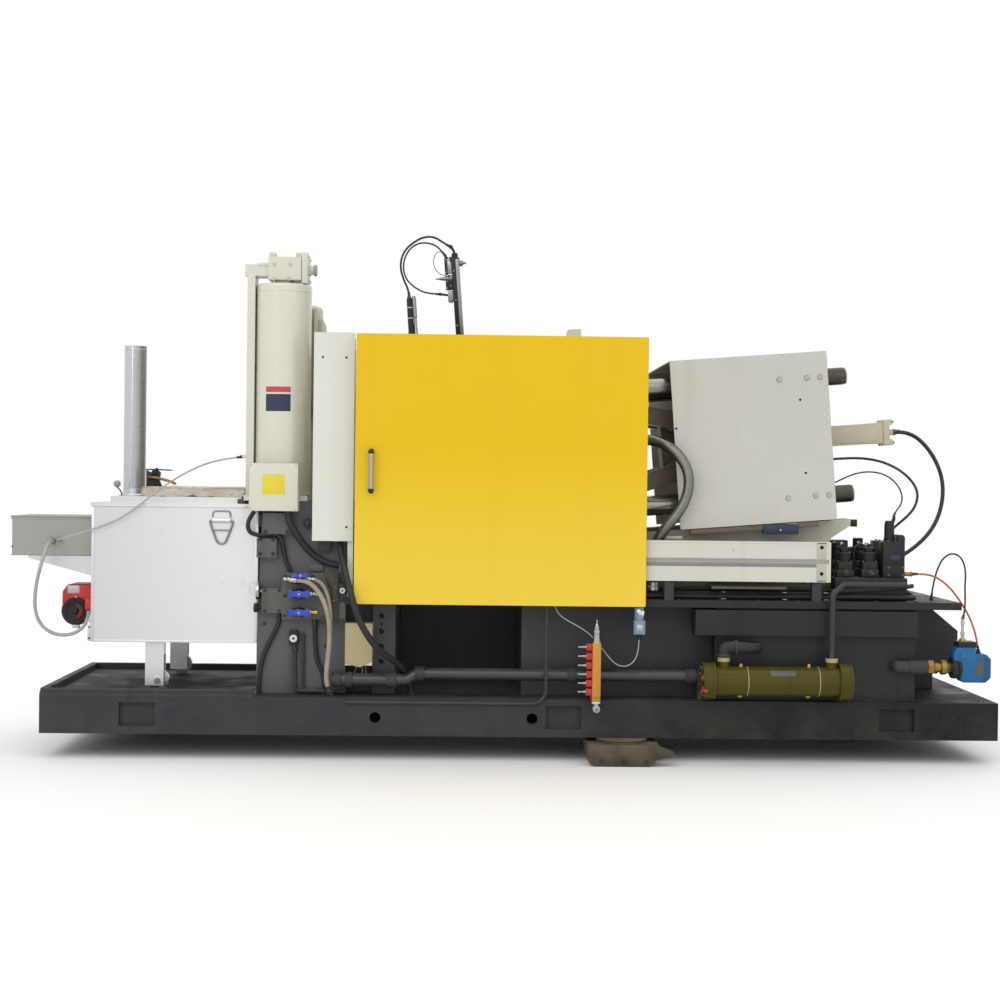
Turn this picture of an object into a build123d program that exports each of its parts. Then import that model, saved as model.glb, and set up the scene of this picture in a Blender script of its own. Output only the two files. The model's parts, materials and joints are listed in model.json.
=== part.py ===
# Hot-chamber die casting machine with a furnace on the left and a tilted toggle clamp on the right.
# Millimetres. X runs along the machine to the right, Y away from the front, Z up.
# The origin is on the floor, under the middle of the machine.
import os
from math import cos, pi, radians, sin, tan

from build123d import *

os.makedirs("parts", exist_ok=True)

# Fits
seat_gap = 0.3
running_gap = 0.5

# Base frame on three machine skates
base_tail_length = 370
base_width = 1100
base_height = 170
skate_height = 110
skate_length = 320
skate_disc_height = 18
skate_disc_radius = 115
skate_reach = 685
skate_nose_length = 72
skate_nose_width = 60
skate_nose_heights = (20, 76, 84)
front_skate_run = 452
rear_skate_insets = (330, 435)
pocket_length = 160
pocket_height = 105
pocket_depth = 25
pocket_left_run = 434
pocket_middle_run = 188
pocket_right_run = 463
pocket_rise = 88
lifting_radius = 25
lifting_left_run = 22
lifting_right_run = 46
lifting_rise = 82
rim_height = 30
rim_width = 32
rim_edge = 6

# Casting stations along the base, each a length from the piece before it
tray_length = 953
stand_length = 405
recess_length = 121
column_length = 104
drop_length = 579
centre_length = 879
tank_beyond_clamp = 275
deck_overhang = 197

# Bed and deck
bed_width = 800
recess_width = 660
tank_width = 1000
tank_height = 422
deck_thickness = 33
drop_width = 500
drop_wall_thickness = 12
ledge_reach = 98
ledge_depth = 45
ledge_height = 115
ledge_drop = 10
column_hole_radius = 6
column_hole_pitch = 69
column_hole_margin = 60

# Injection stand and what stands on it
stand_width = 860
stand_height = 880
stand_batter = 19
stand_shoulder = 240
foot_plate_thickness = 25
accumulator_radius = 127
accumulator_height = 970
accumulator_setback = 130
accumulator_station = 96
head_length = 150
head_height = 105
head_width = 150
neck_radius = 45
neck_height = 18
arm_height = 52
arm_overrun = 12
head_offset = 8
ear_length = 28
ear_height = 24
head_port_radius = 20
head_port_length = 54
bracket_thickness = 35
bracket_width = 120
injection_radius = 105
injection_height = 930
injection_station = 146
cover_box_length = 220
cover_box_height = 216
cover_box_depth = 90
cover_box_drop = 45
block_depth = 40
low_block_length = 90
low_block_heights = (623, 709)
high_block_start = 25
high_block_length = 130
high_block_heights = (730, 825)
end_block_length = 31
end_block_heights = (565, 615)
hose_block_start = 355
hose_block_length = 40
hose_block_heights = (770, 810)
hose_block_depth = 55

# Clamp unit, tilted along its own axis
clamp_tilt = 4.5
clamp_gap = 42
slide_beam_height = 194
platen_size = 700
platen_thickness = 180
die_gap = 800
moving_thickness = 160
toggle_length = 760
tail_thickness = 160
bar_margin = 150
bar_radius = 42.5
bar_end_radius = 37.5
bar_end_length = 124
platen_foot_width = 90
platen_foot_height = 42
slide_beam_width = 140
slide_beam_overhang = 220
slide_nose = 90
pull_block_length = 60
pull_block_height = 240
pull_block_width = 160

# Toggle between the moving and the tail platen
toggle_knee_run = 360
toggle_knee_rise = 120
toggle_front_rise = 200
toggle_rear_rise = 250
toggle_link_radius = 55
toggle_link_width = 80
toggle_link_offset = 150
crosshead_length = 120
crosshead_height = 150
rod_radius = 32

# Tail cover and clamp cylinder
cover_overhang = 112
cover_length = 719
cover_height_room = 70
cover_width_room = 240
cover_sheet = 5
standoff_radius = 30
standoff_margin = 50
cylinder_overhang = 384
cylinder_radius = 49
flange_size = 118
flange_length = 40
flange_notch = 26

# Sliding guard and its rails
door_corner_radius = 6
door_length = 1307
door_height = 1208
door_thickness = 25
door_bottom_gap = 29
door_overlap = 2
door_stroke = 820
rail_setback = 15
rail_depth = 60
rail_height = 182
rail_rise = 87
rail_groove_height = 18
rail_groove_depth = 20
rail_groove_rise = 84
rail_inset = 18
rail_overrun = 21
rail_post_length = 42
rail_post_width = 40
rail_post_count = 4
rail_post_inset = 60
roller_radius = 8.5
roller_thickness = 8
roller_pin_radius = 4
roller_count = 4
roller_inset = 90
roller_plate_length = 110
roller_plate_height = 90
handle_inset = 72
handle_rise = 501
handle_length = 186
handle_radius = 11
handle_standoff = 40
side_panel_length = 184
side_panel_height = 940
side_panel_rise = 248
side_panel_setback = 55
side_panel_thickness = 20
side_panel_gap = 9
guard_post_drop = 24
guard_post_length = 25
guard_post_width = 40

# Holding furnace on its trolley
furnace_length = 758
furnace_width = 800
furnace_height = 636
furnace_rise = 228
furnace_rim = 6
furnace_rim_height = 14
furnace_lid_height = 28
furnace_lid_inset = 70
blanket_thickness = 52
blanket_length = 500
blanket_width = 560
flue_radius = 52
flue_wall = 2
flue_height = 715
flue_station = 116
leg_station = 285
leg_length = 85
leg_width = 60
leg_clearance = 26
leg_sheet = 6
leg_cap_height = 60
wheel_radius = 50
wheel_width = 30
wheel_bolt_radius = 8
ring_wire_radius = 4
ring_width = 113
ring_drop = 108
ring_tip_width = 40
ring_crossbar_drop = 42
barrel_length = 84
barrel_radius = 10
barrel_drop = 76
barrel_station = 590
hasp_thickness = 4
hasp_height = 40
burner_length = 165
burner_height = 150
burner_width = 200
burner_station = 250
burner_rise = 100
burner_dial_run = 74
burner_dial_rise = 54
burner_dial_radius = 68
burner_dial_depth = 25
burner_socket_length = 34
burner_socket_depth = 120
burner_socket_rises = (42, 92)
box_overhang = 190
box_setback = 70
box_height = 178
box_width = 380
box_rise = 387
box_lid_overlap = 6
box_lid_thickness = 4
bracket_start = 80
bracket_tip = 12
bracket_drop = 95
bracket_sheet = 4

# Water circuit on the front
valve_plate_length = 250
valve_plate_height = 210
valve_plate_depth = 40
valve_plate_station = 117
valve_plate_rise = 345
valve_rises = (52, 118, 182)
valve_lengths = (90, 95, 58)
valve_station = 197
valve_depth = 42
valve_height = 34
plate_arm_length = 92
plate_arm_rises = (27, 140)
plate_block_length = 37
plate_block_rises = (3, 116)
hose_elbow_length = 20
hose_elbow_depth = 32
pipe_radius = 30
pipe_slim_radius = 27
pipe_front = 480
pipe_rise = 74
pipe_slim_rise = 104
pipe_joint_length = 24
pipe_start_gap = 58
pipe_joint_start = 315
pipe_block_gap = 25
pipe_block_length = 56
pipe_block_width = 66
pipe_block_height = 140
cooler_front = 600
cooler_rise = 98
cooler_radius = 66
cooler_length = 556
cooler_cap_radius = 82
cooler_cap_length = 57
cooler_port_radius = 26
cooler_port_height = 42
cooler_port_insets = (40, 528)
cooler_start = -18
saddle_length = 40
riser_radius = 13
riser_top = 70
riser_front = 520
riser_end_inset = 20
riser_end_drop = 28
conduit_radius = 8
conduit_bend = 62
conduit_start = 10
conduit_length = 900
conduit_drop = 18
terminal_box_gap = 2
terminal_box_length = 122
terminal_box_height = 190
terminal_box_depth = 95
terminal_box_rise = 140
manifold_station = 281
manifold_bar_length = 38
manifold_bar_height = 262
manifold_bar_depth = 36
manifold_front = 592
manifold_column_length = 30
manifold_column_height = 218
manifold_column_rise = 60
manifold_column_depth = 25
manifold_seat_depth = 60
manifold_knob_radius = 16
manifold_knob_height = 80
manifold_foot_height = 18
inlet_radius = 14
inlet_bore_radius = 8
inlet_length = 45
inlet_drop = 32
switch_station = 497
switch_length = 50
switch_depth = 36
switch_height = 62
switch_drop = 58
switch_offset = 12
switch_plate_inset = 6
switch_head_height = 26
switch_roller_width = 12
switch_roller_radius = 9

# Hydraulics at the right end
valve_bank_length = 334
valve_bank_width = 420
valve_bank_height = 105
valve_bank_inset = 365
valve_bank_front = 470
valve_body_height = 165
valve_body_length = 85
valve_body_width = 90
valve_body_margin = 10
valve_body_pitch = 115
valve_body_rows = (60, 220)
solenoid_radius = 20
solenoid_height = 95
motor_radius = 130
motor_length = 270
motor_rise = 190
motor_offset = 120
motor_foot_inset = 40
pump_cover_length = 245
pump_cover_width = 300
pump_cover_offset = -180
pump_cover_heights = (140, 190, 310, 405)
pump_cover_slope = 115
flow_pipe_radius = 27
flow_pipe_front = 545
flow_pipe_rise = 162
flow_elbow_inset = 90
flow_pipe_overrun = 40
flow_nut_radius = 33
flow_nut_length = 112
flow_coupling_radius = 51
flow_coupling_length = 35
flow_head_length = 136
flow_head_width = 90
flow_head_height = 128
flow_neck_length = 92
flow_neck_height = 32
flow_lid_length = 78
flow_lid_height = 24
flow_stem_radius = 9
flow_stem_height = 102
flow_stem_start = 16

# Spray unit above the dies
spray_arm_height = 50
spray_arm_width = 60
spray_arm_rise = 180
spray_post_length = 38
spray_post_height = 377
spray_post_reach = 511
spray_foot_length = 80
spray_foot_start = 40
spray_offset = 100
spray_gun_radius = 11
spray_gun_height = 208
spray_gun_reach = 282
spray_tube_radius = 7
spray_tube_height = 215
spray_tube_reach = 304
spray_block_length = 32
spray_block_rises = ((232, 281), (305, 385))
spray_block_width = 30
spray_nozzle_radius = 14
spray_nozzle_length = 40
spray_nozzle_rise = 288
spray_cap_length = 44
spray_cap_height = 28

# Hoses and cables, by diameter
power_hose_diameter = 19
return_hose_diameter = 12
pilot_hose_diameter = 7
pilot_drop_inset = 50
pilot_front_inset = 75
ribbed_hose_diameter = 50
ribbed_inset = 95
guard_hose_diameter = 30
water_hose_diameter = 22
burner_conduit_diameter = 16
furnace_cable_diameter = 8
spray_hose_diameter = 10
spray_return_diameter = 8
switch_cable_diameter = 5
valve_cable_diameter = 8
flow_cable_diameter = 9
oil_bundle_diameter = 30
drain_hose_diameter = 20
gland_wall = 4
gland_length = 20
gland_sink = 10

# Places worked out from the sizes above
drop_station = tray_length + stand_length + recess_length + column_length + drop_length
bar_spacing = platen_size - bar_margin
moving_start = platen_thickness + die_gap
tail_start = moving_start + moving_thickness + toggle_length
toggle_knee = moving_start + moving_thickness + toggle_knee_run
cover_end = tail_start + tail_thickness + cover_overhang
cover_start = cover_end - cover_length
cover_height = platen_size + cover_height_room
cover_width = platen_size + cover_width_room
bar_reach = cover_end + bar_end_length
cylinder_reach = cover_end + cylinder_overhang
slide_beam_length = tail_start + tail_thickness + slide_beam_overhang
slide_top_drop = platen_size / 2 + platen_foot_height
axis_rise = slide_top_drop + slide_beam_height
tank_station = tray_length + stand_length + clamp_gap + slide_beam_length + tank_beyond_clamp
base_length = tank_station + base_tail_length
rail_length = door_length + door_stroke - rail_inset + rail_overrun
base_left = (box_overhang - base_length) / 2
base_right = base_left + base_length
base_bottom = skate_height
base_top = base_bottom + base_height
base_front = -base_width / 2
stand_left = base_left + tray_length
stand_right = stand_left + stand_length
column_left = stand_right + recess_length
column_right = column_left + column_length
drop_right = column_right + drop_length
tank_left = drop_right + centre_length
tank_right = base_left + tank_station
deck_right = tank_right + deck_overhang
tank_top = base_top + tank_height
deck_top = tank_top + deck_thickness
stand_top = base_top + stand_height
stand_front = -stand_width / 2
bed_front = -bed_width / 2
tank_front = -tank_width / 2
clamp_left = stand_right + clamp_gap
accumulator_x = stand_left + accumulator_station
accumulator_y = stand_front + accumulator_setback
bracket_right = accumulator_x - accumulator_radius - seat_gap
bracket_left = bracket_right - bracket_thickness
furnace_left = stand_left - seat_gap - furnace_length
furnace_low = base_top + furnace_rise
furnace_top = furnace_low + furnace_height
furnace_front = -furnace_width / 2
box_left = base_left - box_overhang
box_low = furnace_low + box_rise
box_front = furnace_front + box_setback
switch_x = drop_right + switch_station + switch_length / 2
switch_y = base_front - switch_depth / 2 - switch_offset
switch_top = tank_top - switch_drop
bank_left = tank_right - valve_bank_inset
bank_right = bank_left + valve_bank_length
bank_top = deck_top + valve_bank_height
body_x = bank_right - valve_body_margin - valve_body_length / 2
body_right = body_x + valve_body_length / 2
body_top = bank_top + valve_body_height
front_row_y, back_row_y = [row - valve_bank_front for row in valve_body_rows]
flow_z = base_top + flow_pipe_rise
flow_nut_left = tank_right + flow_pipe_overrun
flow_head_left = flow_nut_left + flow_nut_length + flow_coupling_length
flow_head_top = flow_z + flow_head_height / 2
flow_lid_top = flow_head_top + flow_neck_height + flow_lid_height
valve_plate_low = base_top + valve_plate_rise
valve_plate_face = stand_front - seat_gap - valve_plate_depth
valve_face = valve_plate_face - valve_depth
valve_x = stand_left + valve_station
hose_elbow_right = valve_x - valve_lengths[2] / 2 + hose_elbow_length

# Clamp frame: local x runs up the tilted clamp axis, local y across it, local z to the front
clamp_origin = (clamp_left, 0, deck_top + axis_rise)
clamp_direction = (cos(radians(clamp_tilt)), 0, sin(radians(clamp_tilt)))
clamp_plane = Plane(origin=clamp_origin, x_dir=clamp_direction, z_dir=(0, -1, 0))


def clamp_point(along, across, front):
    return tuple(clamp_plane.from_local_coords(Vector(along, across, front)))


# Routes of the hoses and cables, from fitting to fitting
ribbed_front = platen_size / 2 - ribbed_inset
pilot_drop = bar_spacing / 2 - pilot_drop_inset
pilot_front = bar_spacing / 2 - pilot_front_inset
spray_top = platen_size / 2 + spray_arm_rise + spray_arm_height
power_start = cylinder_reach + gland_length
cover_face = cover_end + gland_length
platen_face = moving_start + moving_thickness + gland_length
routes = {
    "power_hose": (power_hose_diameter, [
        clamp_point(power_start, 0, 0),
        clamp_point(power_start + 45, 0, 0),
        (2003, -5, 1508),
        (2049, -15, 1468),
        (2084, -30, 1418),
        (2108, -52, 1363),
        (2120, -78, 1305),
        (2120, -104, 1243),
        (2105, -133, 1169),
        (2072, -165, 1095),
        (2024, -193, 1033),
        (1968, -216, 984),
        (1913, -236, 948),
        (body_right + gland_length, back_row_y, bank_top + 82),
    ]),
    "return_hose": (return_hose_diameter, [
        clamp_point(cover_face, -110, 150),
        clamp_point(cover_face + 85, -110, 150),
        (1705, -158, 1394),
        (1792, -170, 1382),
        (1866, -190, 1351),
        (1919, -215, 1308),
        (1951, -240, 1260),
        (1955, -265, 1213),
        (1934, -285, 1160),
        (1896, -288, 1117),
        (1852, -276, 1078),
        (body_x + 6, back_row_y - 6, body_top + 28),
    ]),
    "pilot_hose": (pilot_hose_diameter, [
        clamp_point(cover_face, -pilot_drop, pilot_front),
        clamp_point(cover_face + 34, -pilot_drop, pilot_front),
        (1604, -211, 1290),
        (1652, -233, 1315),
        (1705, -255, 1328),
        (1763, -280, 1325),
        (1812, -305, 1302),
        (1846, -333, 1260),
        (1857, -360, 1212),
        (1843, -383, 1172),
        (1814, -400, 1145),
        (body_x, front_row_y, body_top + solenoid_height + gland_length),
    ]),
    "ribbed_hose": (ribbed_hose_diameter, [
        clamp_point(platen_face, 40, ribbed_front),
        clamp_point(platen_face + 75, 40, ribbed_front),
        (628, -290, 1463),
        (678, -352, 1462),
        (712, -425, 1452),
        (752, -490, 1428),
        (798, -526, 1384),
        (832, -533, 1322),
        (840, -533, 1255),
        (826, -530, 1190),
        (795, -526, 1132),
        (758, -510, 1084),
        (726, -482, 1040),
        (703, -455, 988),
        (692, -440, 922),
        (690, -437, 850),
        (690, -436, deck_top + 2 * gland_length),
    ]),
    "guard_hose": (guard_hose_diameter, [
        (-745, -462, 1048),
        (-743, -464, 1002),
        (-735, -480, 950),
        (-722, -517, 896),
        (-705, -568, 842),
        (-686, -618, 788),
        (-669, -641, 732),
        (-652, -646, 675),
        (-630, -639, 622),
        (-602, -622, 570),
        (-570, -598, 522),
        (-533, -562, 482),
        (-494, -516, 450),
        (-459, -471, 420),
        (-432, -442, 382),
        (-416, -429, 340),
        (-410, -425, base_top + gland_length),
    ]),
    "water_hose": (water_hose_diameter, [
        (hose_elbow_right + seat_gap, -530, 805),
        (-894, -530, 805),
        (-860, -534, 790),
        (-830, -539, 760),
        (-804, -542, 718),
        (-786, -543, 668),
        (-777, -540, 612),
        (-775, -536, 555),
        (-778, -531, 498),
        (-784, -525, 440),
        (-790, -518, 385),
        (-788, -511, 338),
        (-776, -505, base_top + gland_length),
    ]),
    "burner_conduit": (burner_conduit_diameter, [
        (-2066, box_front - gland_length, 962),
        (-2066, box_front - gland_length - 36, 961),
        (-2068, box_front - gland_length - 74, 946),
        (-2074, box_front - gland_length - 98, 912),
        (-2088, box_front - gland_length - 104, 862),
        (-2108, box_front - gland_length - 96, 788),
        (-2122, -426, 714),
        (-2124, -411, 648),
        (-2106, -404, 592),
        (-2068, -398, 552),
        (-2015, -391, 534),
        (-1962, -382, 538),
        (-1920, -371, 562),
        (-1897, -360, 600),
        (-1890, -352, 640),
    ]),
    "furnace_cable": (furnace_cable_diameter, [
        (-2034, box_front - gland_length, 968),
        (-2033, -380, 969),
        (-2014, -406, 974),
        (-1965, -421, 989),
        (-1885, -430, 1014),
        (-1785, -433, 1048),
        (-1698, -434, 1096),
        (-1622, -427, 1158),
        (-1542, -408, 1224),
        (-1455, -386, 1282),
        (-1369, -362, 1325),
        (-1280, -345, 1350),
        (bracket_left - gland_length, -338, 1360),
    ]),
    "spray_hose": (spray_hose_diameter, [
        clamp_point(spray_gun_reach, spray_top + spray_gun_height, spray_offset),
        clamp_point(spray_gun_reach, spray_top + spray_gun_height + 38, spray_offset),
        (-475, -99, 2212),
        (-491, -98, 2264),
        (-488, -97, 2318),
        (-464, -96, 2364),
        (-421, -96, 2398),
        (-392, -96, 2414),
        (-359, -97, 2421),
        (-326, -98, 2416),
        clamp_point(spray_post_reach - 54, spray_top + spray_post_height + spray_cap_height + 57, spray_offset - 1),
        clamp_point(spray_post_reach - 12, spray_top + spray_post_height + spray_cap_height + 28, spray_offset),
    ]),
    "spray_return": (spray_return_diameter, [
        clamp_point(spray_post_reach - 44, spray_top + spray_post_height + 16, spray_offset + 12),
        clamp_point(spray_post_reach - 72, spray_top + spray_post_height + 58, spray_offset + 14),
        (-341, -116, 2383),
        (-374, -117, 2389),
        (-410, -117, 2384),
        (-446, -116, 2361),
        (-472, -115, 2316),
        (-478, -114, 2263),
        (-465, -113, 2219),
        (-437, -112, 2188),
        (-403, -112, 2165),
        clamp_point(spray_post_reach - 138, spray_top + spray_nozzle_rise - 68, spray_offset + 12),
        clamp_point(spray_post_reach - 77, spray_top + spray_nozzle_rise - 74, spray_offset + 12),
    ]),
    "switch_cable": (switch_cable_diameter, [
        (switch_x, switch_y, switch_top - switch_height - gland_length / 2),
        (616, -579, 530),
        (607, -575, 478),
        (583, -570, 444),
        (545, -564, 432),
        (503, -558, 450),
        (455, -554, 510),
        (400, -552, 577),
        (338, -549, 616),
        (282, -546, 644),
        (250, -541, 672),
        (238, -538, tank_top - 1),
    ]),
    "valve_cable": (valve_cable_diameter, [
        (1988, -395, deck_top + gland_length / 2),
        (1993, -396, 795),
        (2003, -400, 846),
        (2015, -404, 890),
        (2035, -411, 931),
        (2067, -423, 956),
        (2102, -442, 947),
        (2120, -461, 908),
        (2121, -480, 858),
        (2113, -496, 804),
        (2111, -510, 756),
        (2106, -525, 714),
        (2099, -537, 686),
        (flow_head_left + flow_stem_start, -flow_pipe_front, flow_lid_top + flow_stem_height),
    ]),
    "flow_cable": (flow_cable_diameter, [
        (body_right + 2 * gland_length, front_row_y - 20, bank_top + 18),
        (1938, -433, 860),
        (1988, -438, 850),
        (2030, -446, 824),
        (2068, -458, 785),
        (2103, -473, 733),
        (2133, -490, 678),
        (2152, -508, 622),
        (2162, -525, 570),
        (2165, -540, flow_head_top + gland_length / 2),
    ]),
}


def bend_radii(route):
    # The largest arcs that the runs on each side of a corner leave room for
    radii = []
    corners = [Vector(*point) for point in route]
    for before, corner, after in zip(corners, corners[1:], corners[2:]):
        first = corner - before
        second = after - corner
        half_turn = radians(first.get_angle(second)) / 2
        radii.append(0.45 * min(first.length, second.length) / tan(half_turn))
    return radii


def slab(x, y, z, mode=Mode.ADD):
    # A block between two values on each axis of the plane in use
    with Locations(((x[0] + x[1]) / 2, (y[0] + y[1]) / 2, (z[0] + z[1]) / 2)):
        Box(x[1] - x[0], y[1] - y[0], z[1] - z[0], mode=mode)


def middle(centre, size):
    return (centre - size / 2, centre + size / 2)


def spread(start, length, inset, count):
    # Evenly spaced places along a length, the first and last an inset from its ends
    step = (length - 2 * inset) / (count - 1)
    return [start + inset + step * place for place in range(count)]


def gland(hose, at_end=False, frame=Plane.XY, length=gland_length):
    # A round fitting that meets one end of a hose face to face and runs into its piece
    diameter, route = routes[hose]
    places = route[::-1] if at_end else route
    face = frame.to_local_coords(Vector(*places[0]))
    direction = (frame.to_local_coords(Vector(*places[1])) - face).normalized()
    with Locations(Plane(origin=face - direction * (seat_gap + length / 2), z_dir=direction)):
        Cylinder(diameter / 2 + gland_wall, length)


def save(piece, name):
    piece.part.label = name
    export_step(piece.part, f"parts/{name}.step")


# Base frame: closed box section with shallow pockets and two lifting holes through it
with BuildPart() as base_frame:
    slab((base_left, base_right), middle(0, base_width), (base_bottom, base_top))
    pocket_places = (base_left + pocket_left_run, drop_right + pocket_middle_run, base_right - pocket_right_run)
    for pocket_x in pocket_places:
        for face in (-1, 1):
            slab(
                middle(pocket_x, pocket_length),
                middle(face * (base_width - pocket_depth) / 2, pocket_depth),
                middle(base_bottom + pocket_rise, pocket_height),
                mode=Mode.SUBTRACT,
            )
    for lifting_x in (column_left + lifting_left_run, drop_right + lifting_right_run):
        with Locations((lifting_x, 0, base_bottom + lifting_rise)):
            Cylinder(lifting_radius, base_width, rotation=(90, 0, 0), mode=Mode.SUBTRACT)
    for hose in ("guard_hose", "water_hose"):
        gland(hose, at_end=True, length=gland_length + gland_sink)
save(base_frame, "base_frame")

# Drip tray rim round the furnace, bevelled on its front
with BuildPart() as tray_rim:
    slab((base_left, stand_left - seat_gap), middle(0, base_width), (base_top, base_top + rim_height))
    slab(
        (base_left + rim_width, stand_left),
        middle(0, base_width - 2 * rim_width),
        (base_top, base_top + rim_height),
        mode=Mode.SUBTRACT,
    )
    bevel_edges = tray_rim.edges().filter_by(Axis.X).group_by(Axis.Z)[-1].group_by(Axis.Y)[0]
    chamfer(bevel_edges, rim_height - rim_edge, rim_width - rim_edge)
save(tray_rim, "tray_rim")

# Machine skates: one steering skate at the front with a draw nose, two at the back corners
with BuildPart() as machine_skates:
    front_skate_x = drop_right + front_skate_run
    left_inset, right_inset = rear_skate_insets
    skate_places = [(front_skate_x, -1), (base_left + left_inset, 1), (base_right - right_inset, 1)]
    for skate_x, side in skate_places:
        skate_y = side * (skate_reach - skate_length / 2)
        plate_top = base_bottom - skate_disc_height
        slab(middle(skate_x, skate_length), middle(skate_y, skate_length), (0, plate_top))
        with Locations((skate_x, skate_y, plate_top + skate_disc_height / 2)):
            Cylinder(skate_disc_radius, skate_disc_height)
    nose_root = front_skate_x + skate_length / 2
    nose_low, nose_tip, nose_high = skate_nose_heights
    with BuildSketch(Plane.XZ.offset(skate_reach)):
        with BuildLine():
            Polyline(
                (nose_root, nose_high),
                (nose_root + skate_nose_length, nose_tip),
                (nose_root, nose_low),
                close=True,
            )
        make_face()
    extrude(amount=-skate_nose_width)
save(machine_skates, "machine_skates")

# Bed castings left and right of the parts drop
with BuildPart() as bed_castings:
    slab((stand_right + seat_gap, column_left), middle(0, recess_width), (base_top, tank_top))
    slab((column_left, column_right), middle(0, bed_width), (base_top, tank_top))
    column_hole_x = column_left + column_length / 3
    for row in range(4):
        with Locations((column_hole_x, bed_front, tank_top - column_hole_margin - row * column_hole_pitch)):
            Cylinder(column_hole_radius, 2 * pocket_depth, rotation=(90, 0, 0), mode=Mode.SUBTRACT)
    slab((drop_right, tank_left - seat_gap), middle(0, bed_width), (base_top, tank_top))
    slab((column_right, drop_right), (-bed_front - drop_wall_thickness, -bed_front), (base_top, tank_top))
save(bed_castings, "bed_castings")

# Oil tank with a ledge along its upper front and back
with BuildPart() as oil_tank:
    slab((tank_left, tank_right), middle(0, tank_width), (base_top, tank_top))
    ledge_top = tank_top - ledge_drop
    slab(
        (tank_left - ledge_reach, tank_right),
        middle(0, tank_width + 2 * ledge_depth),
        (ledge_top - ledge_height, ledge_top),
    )
    slab(
        (tank_left - ledge_reach, tank_left),
        middle(0, bed_width + 2 * seat_gap),
        (ledge_top - ledge_height, ledge_top),
        mode=Mode.SUBTRACT,
    )
save(oil_tank, "oil_tank")

# Deck over the bed, open above the parts drop
with BuildPart() as deck_plates:
    slab((stand_right + seat_gap, column_right), middle(0, base_width), (tank_top, deck_top))
    slab((drop_right, deck_right), middle(0, base_width), (tank_top, deck_top))
    strip_width = (base_width - drop_width) / 2
    for side in (-1, 1):
        slab(
            (column_right + seat_gap, drop_right - seat_gap),
            middle(side * (drop_width + strip_width) / 2, strip_width),
            (tank_top, deck_top),
        )
    gland("ribbed_hose", at_end=True, length=2 * gland_length + gland_sink)
    gland("valve_cable")
save(deck_plates, "deck_plates")

# Injection stand, a closed casting that leans in towards its top
with BuildPart() as injection_stand:
    with BuildSketch(Plane.XZ):
        with BuildLine():
            Polyline(
                (stand_left, base_top),
                (stand_right, base_top),
                (stand_right, stand_top),
                (stand_left + stand_batter, stand_top),
                (stand_left, base_top + stand_shoulder),
                close=True,
            )
        make_face()
    extrude(amount=stand_width / 2, both=True)
    front_blocks = (
        (0, low_block_length, block_depth, low_block_heights),
        (high_block_start, high_block_length, block_depth, high_block_heights),
        (stand_length - end_block_length, end_block_length, block_depth, end_block_heights),
        (hose_block_start, hose_block_length, hose_block_depth, hose_block_heights),
    )
    for start, length, depth, (low, high) in front_blocks:
        slab(
            (stand_left + start, stand_left + start + length),
            (stand_front - depth, stand_front),
            (base_top + low, base_top + high),
        )
save(injection_stand, "injection_stand")

# Accumulator with its foot plate, side bracket and head
foot_top = stand_top + foot_plate_thickness
accumulator_top = foot_top + accumulator_height
head_top = accumulator_top + neck_height + head_height
head_x = accumulator_x + head_offset
with BuildPart() as accumulator:
    with Locations((accumulator_x, accumulator_y, (foot_top + accumulator_top) / 2)):
        Cylinder(accumulator_radius, accumulator_height)
    rounded = accumulator.faces().sort_by(Axis.Z)[-1].edges()
    fillet(rounded, 12)
    with Locations((accumulator_x, accumulator_y, accumulator_top + neck_height / 2)):
        Cylinder(neck_radius, neck_height)
save(accumulator, "accumulator")

with BuildPart() as accumulator_head:
    head_low = accumulator_top + neck_height
    slab(middle(head_x, head_length), middle(accumulator_y, head_width), (head_low, head_top))
    for ear in (-1, 1):
        slab(
            middle(head_x + ear * (head_length - ear_length) / 2, ear_length),
            middle(accumulator_y, head_width / 2),
            (head_top, head_top + ear_height),
        )
    port_x = head_x + (head_length + head_port_length) / 2
    with Locations((port_x, accumulator_y, head_low + head_height / 2)):
        Cylinder(head_port_radius, head_port_length, rotation=(0, 90, 0))
save(accumulator_head, "accumulator_head")

with BuildPart() as accumulator_bracket:
    foot_right = accumulator_x + accumulator_radius
    bracket_top = head_low + head_height * 2 / 3
    slab((bracket_left, foot_right), middle(accumulator_y, 2 * accumulator_radius), (stand_top, foot_top))
    slab((bracket_left, bracket_right), middle(accumulator_y, bracket_width), (foot_top, bracket_top))
    slab(
        (bracket_left - arm_overrun, head_x - head_length / 2 - seat_gap),
        middle(accumulator_y, bracket_width),
        (bracket_top - arm_height, bracket_top),
    )
    gland("furnace_cable", at_end=True, length=gland_length + gland_sink)
save(accumulator_bracket, "accumulator_bracket")

with BuildPart() as injection_cylinder:
    with Locations((stand_left + injection_station, 0, stand_top + injection_height / 2)):
        Cylinder(injection_radius, injection_height)
    fillet(injection_cylinder.faces().sort_by(Axis.Z)[-1].edges(), 25)
save(injection_cylinder, "injection_cylinder")

# Wiring boxes: one under the accumulator's front, one beside the bed
with BuildPart() as wiring_boxes:
    cover_box_left = bracket_right
    cover_box_low = stand_top - cover_box_drop
    slab(
        (cover_box_left, cover_box_left + cover_box_length),
        (stand_front - seat_gap - cover_box_depth, stand_front - seat_gap),
        (cover_box_low, cover_box_low + cover_box_height),
    )
    terminal_left = stand_right + terminal_box_gap
    terminal_low = base_top + terminal_box_rise
    slab(
        (terminal_left, terminal_left + terminal_box_length),
        (bed_front - seat_gap - terminal_box_depth, bed_front - seat_gap),
        (terminal_low, terminal_low + terminal_box_height),
    )
save(wiring_boxes, "wiring_boxes")

# Clamp unit, on the tilted clamp frame
bar_places = [(v * bar_spacing / 2, w * bar_spacing / 2) for v in (-1, 1) for w in (-1, 1)]
foot_low = -slide_top_drop + seat_gap


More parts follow.
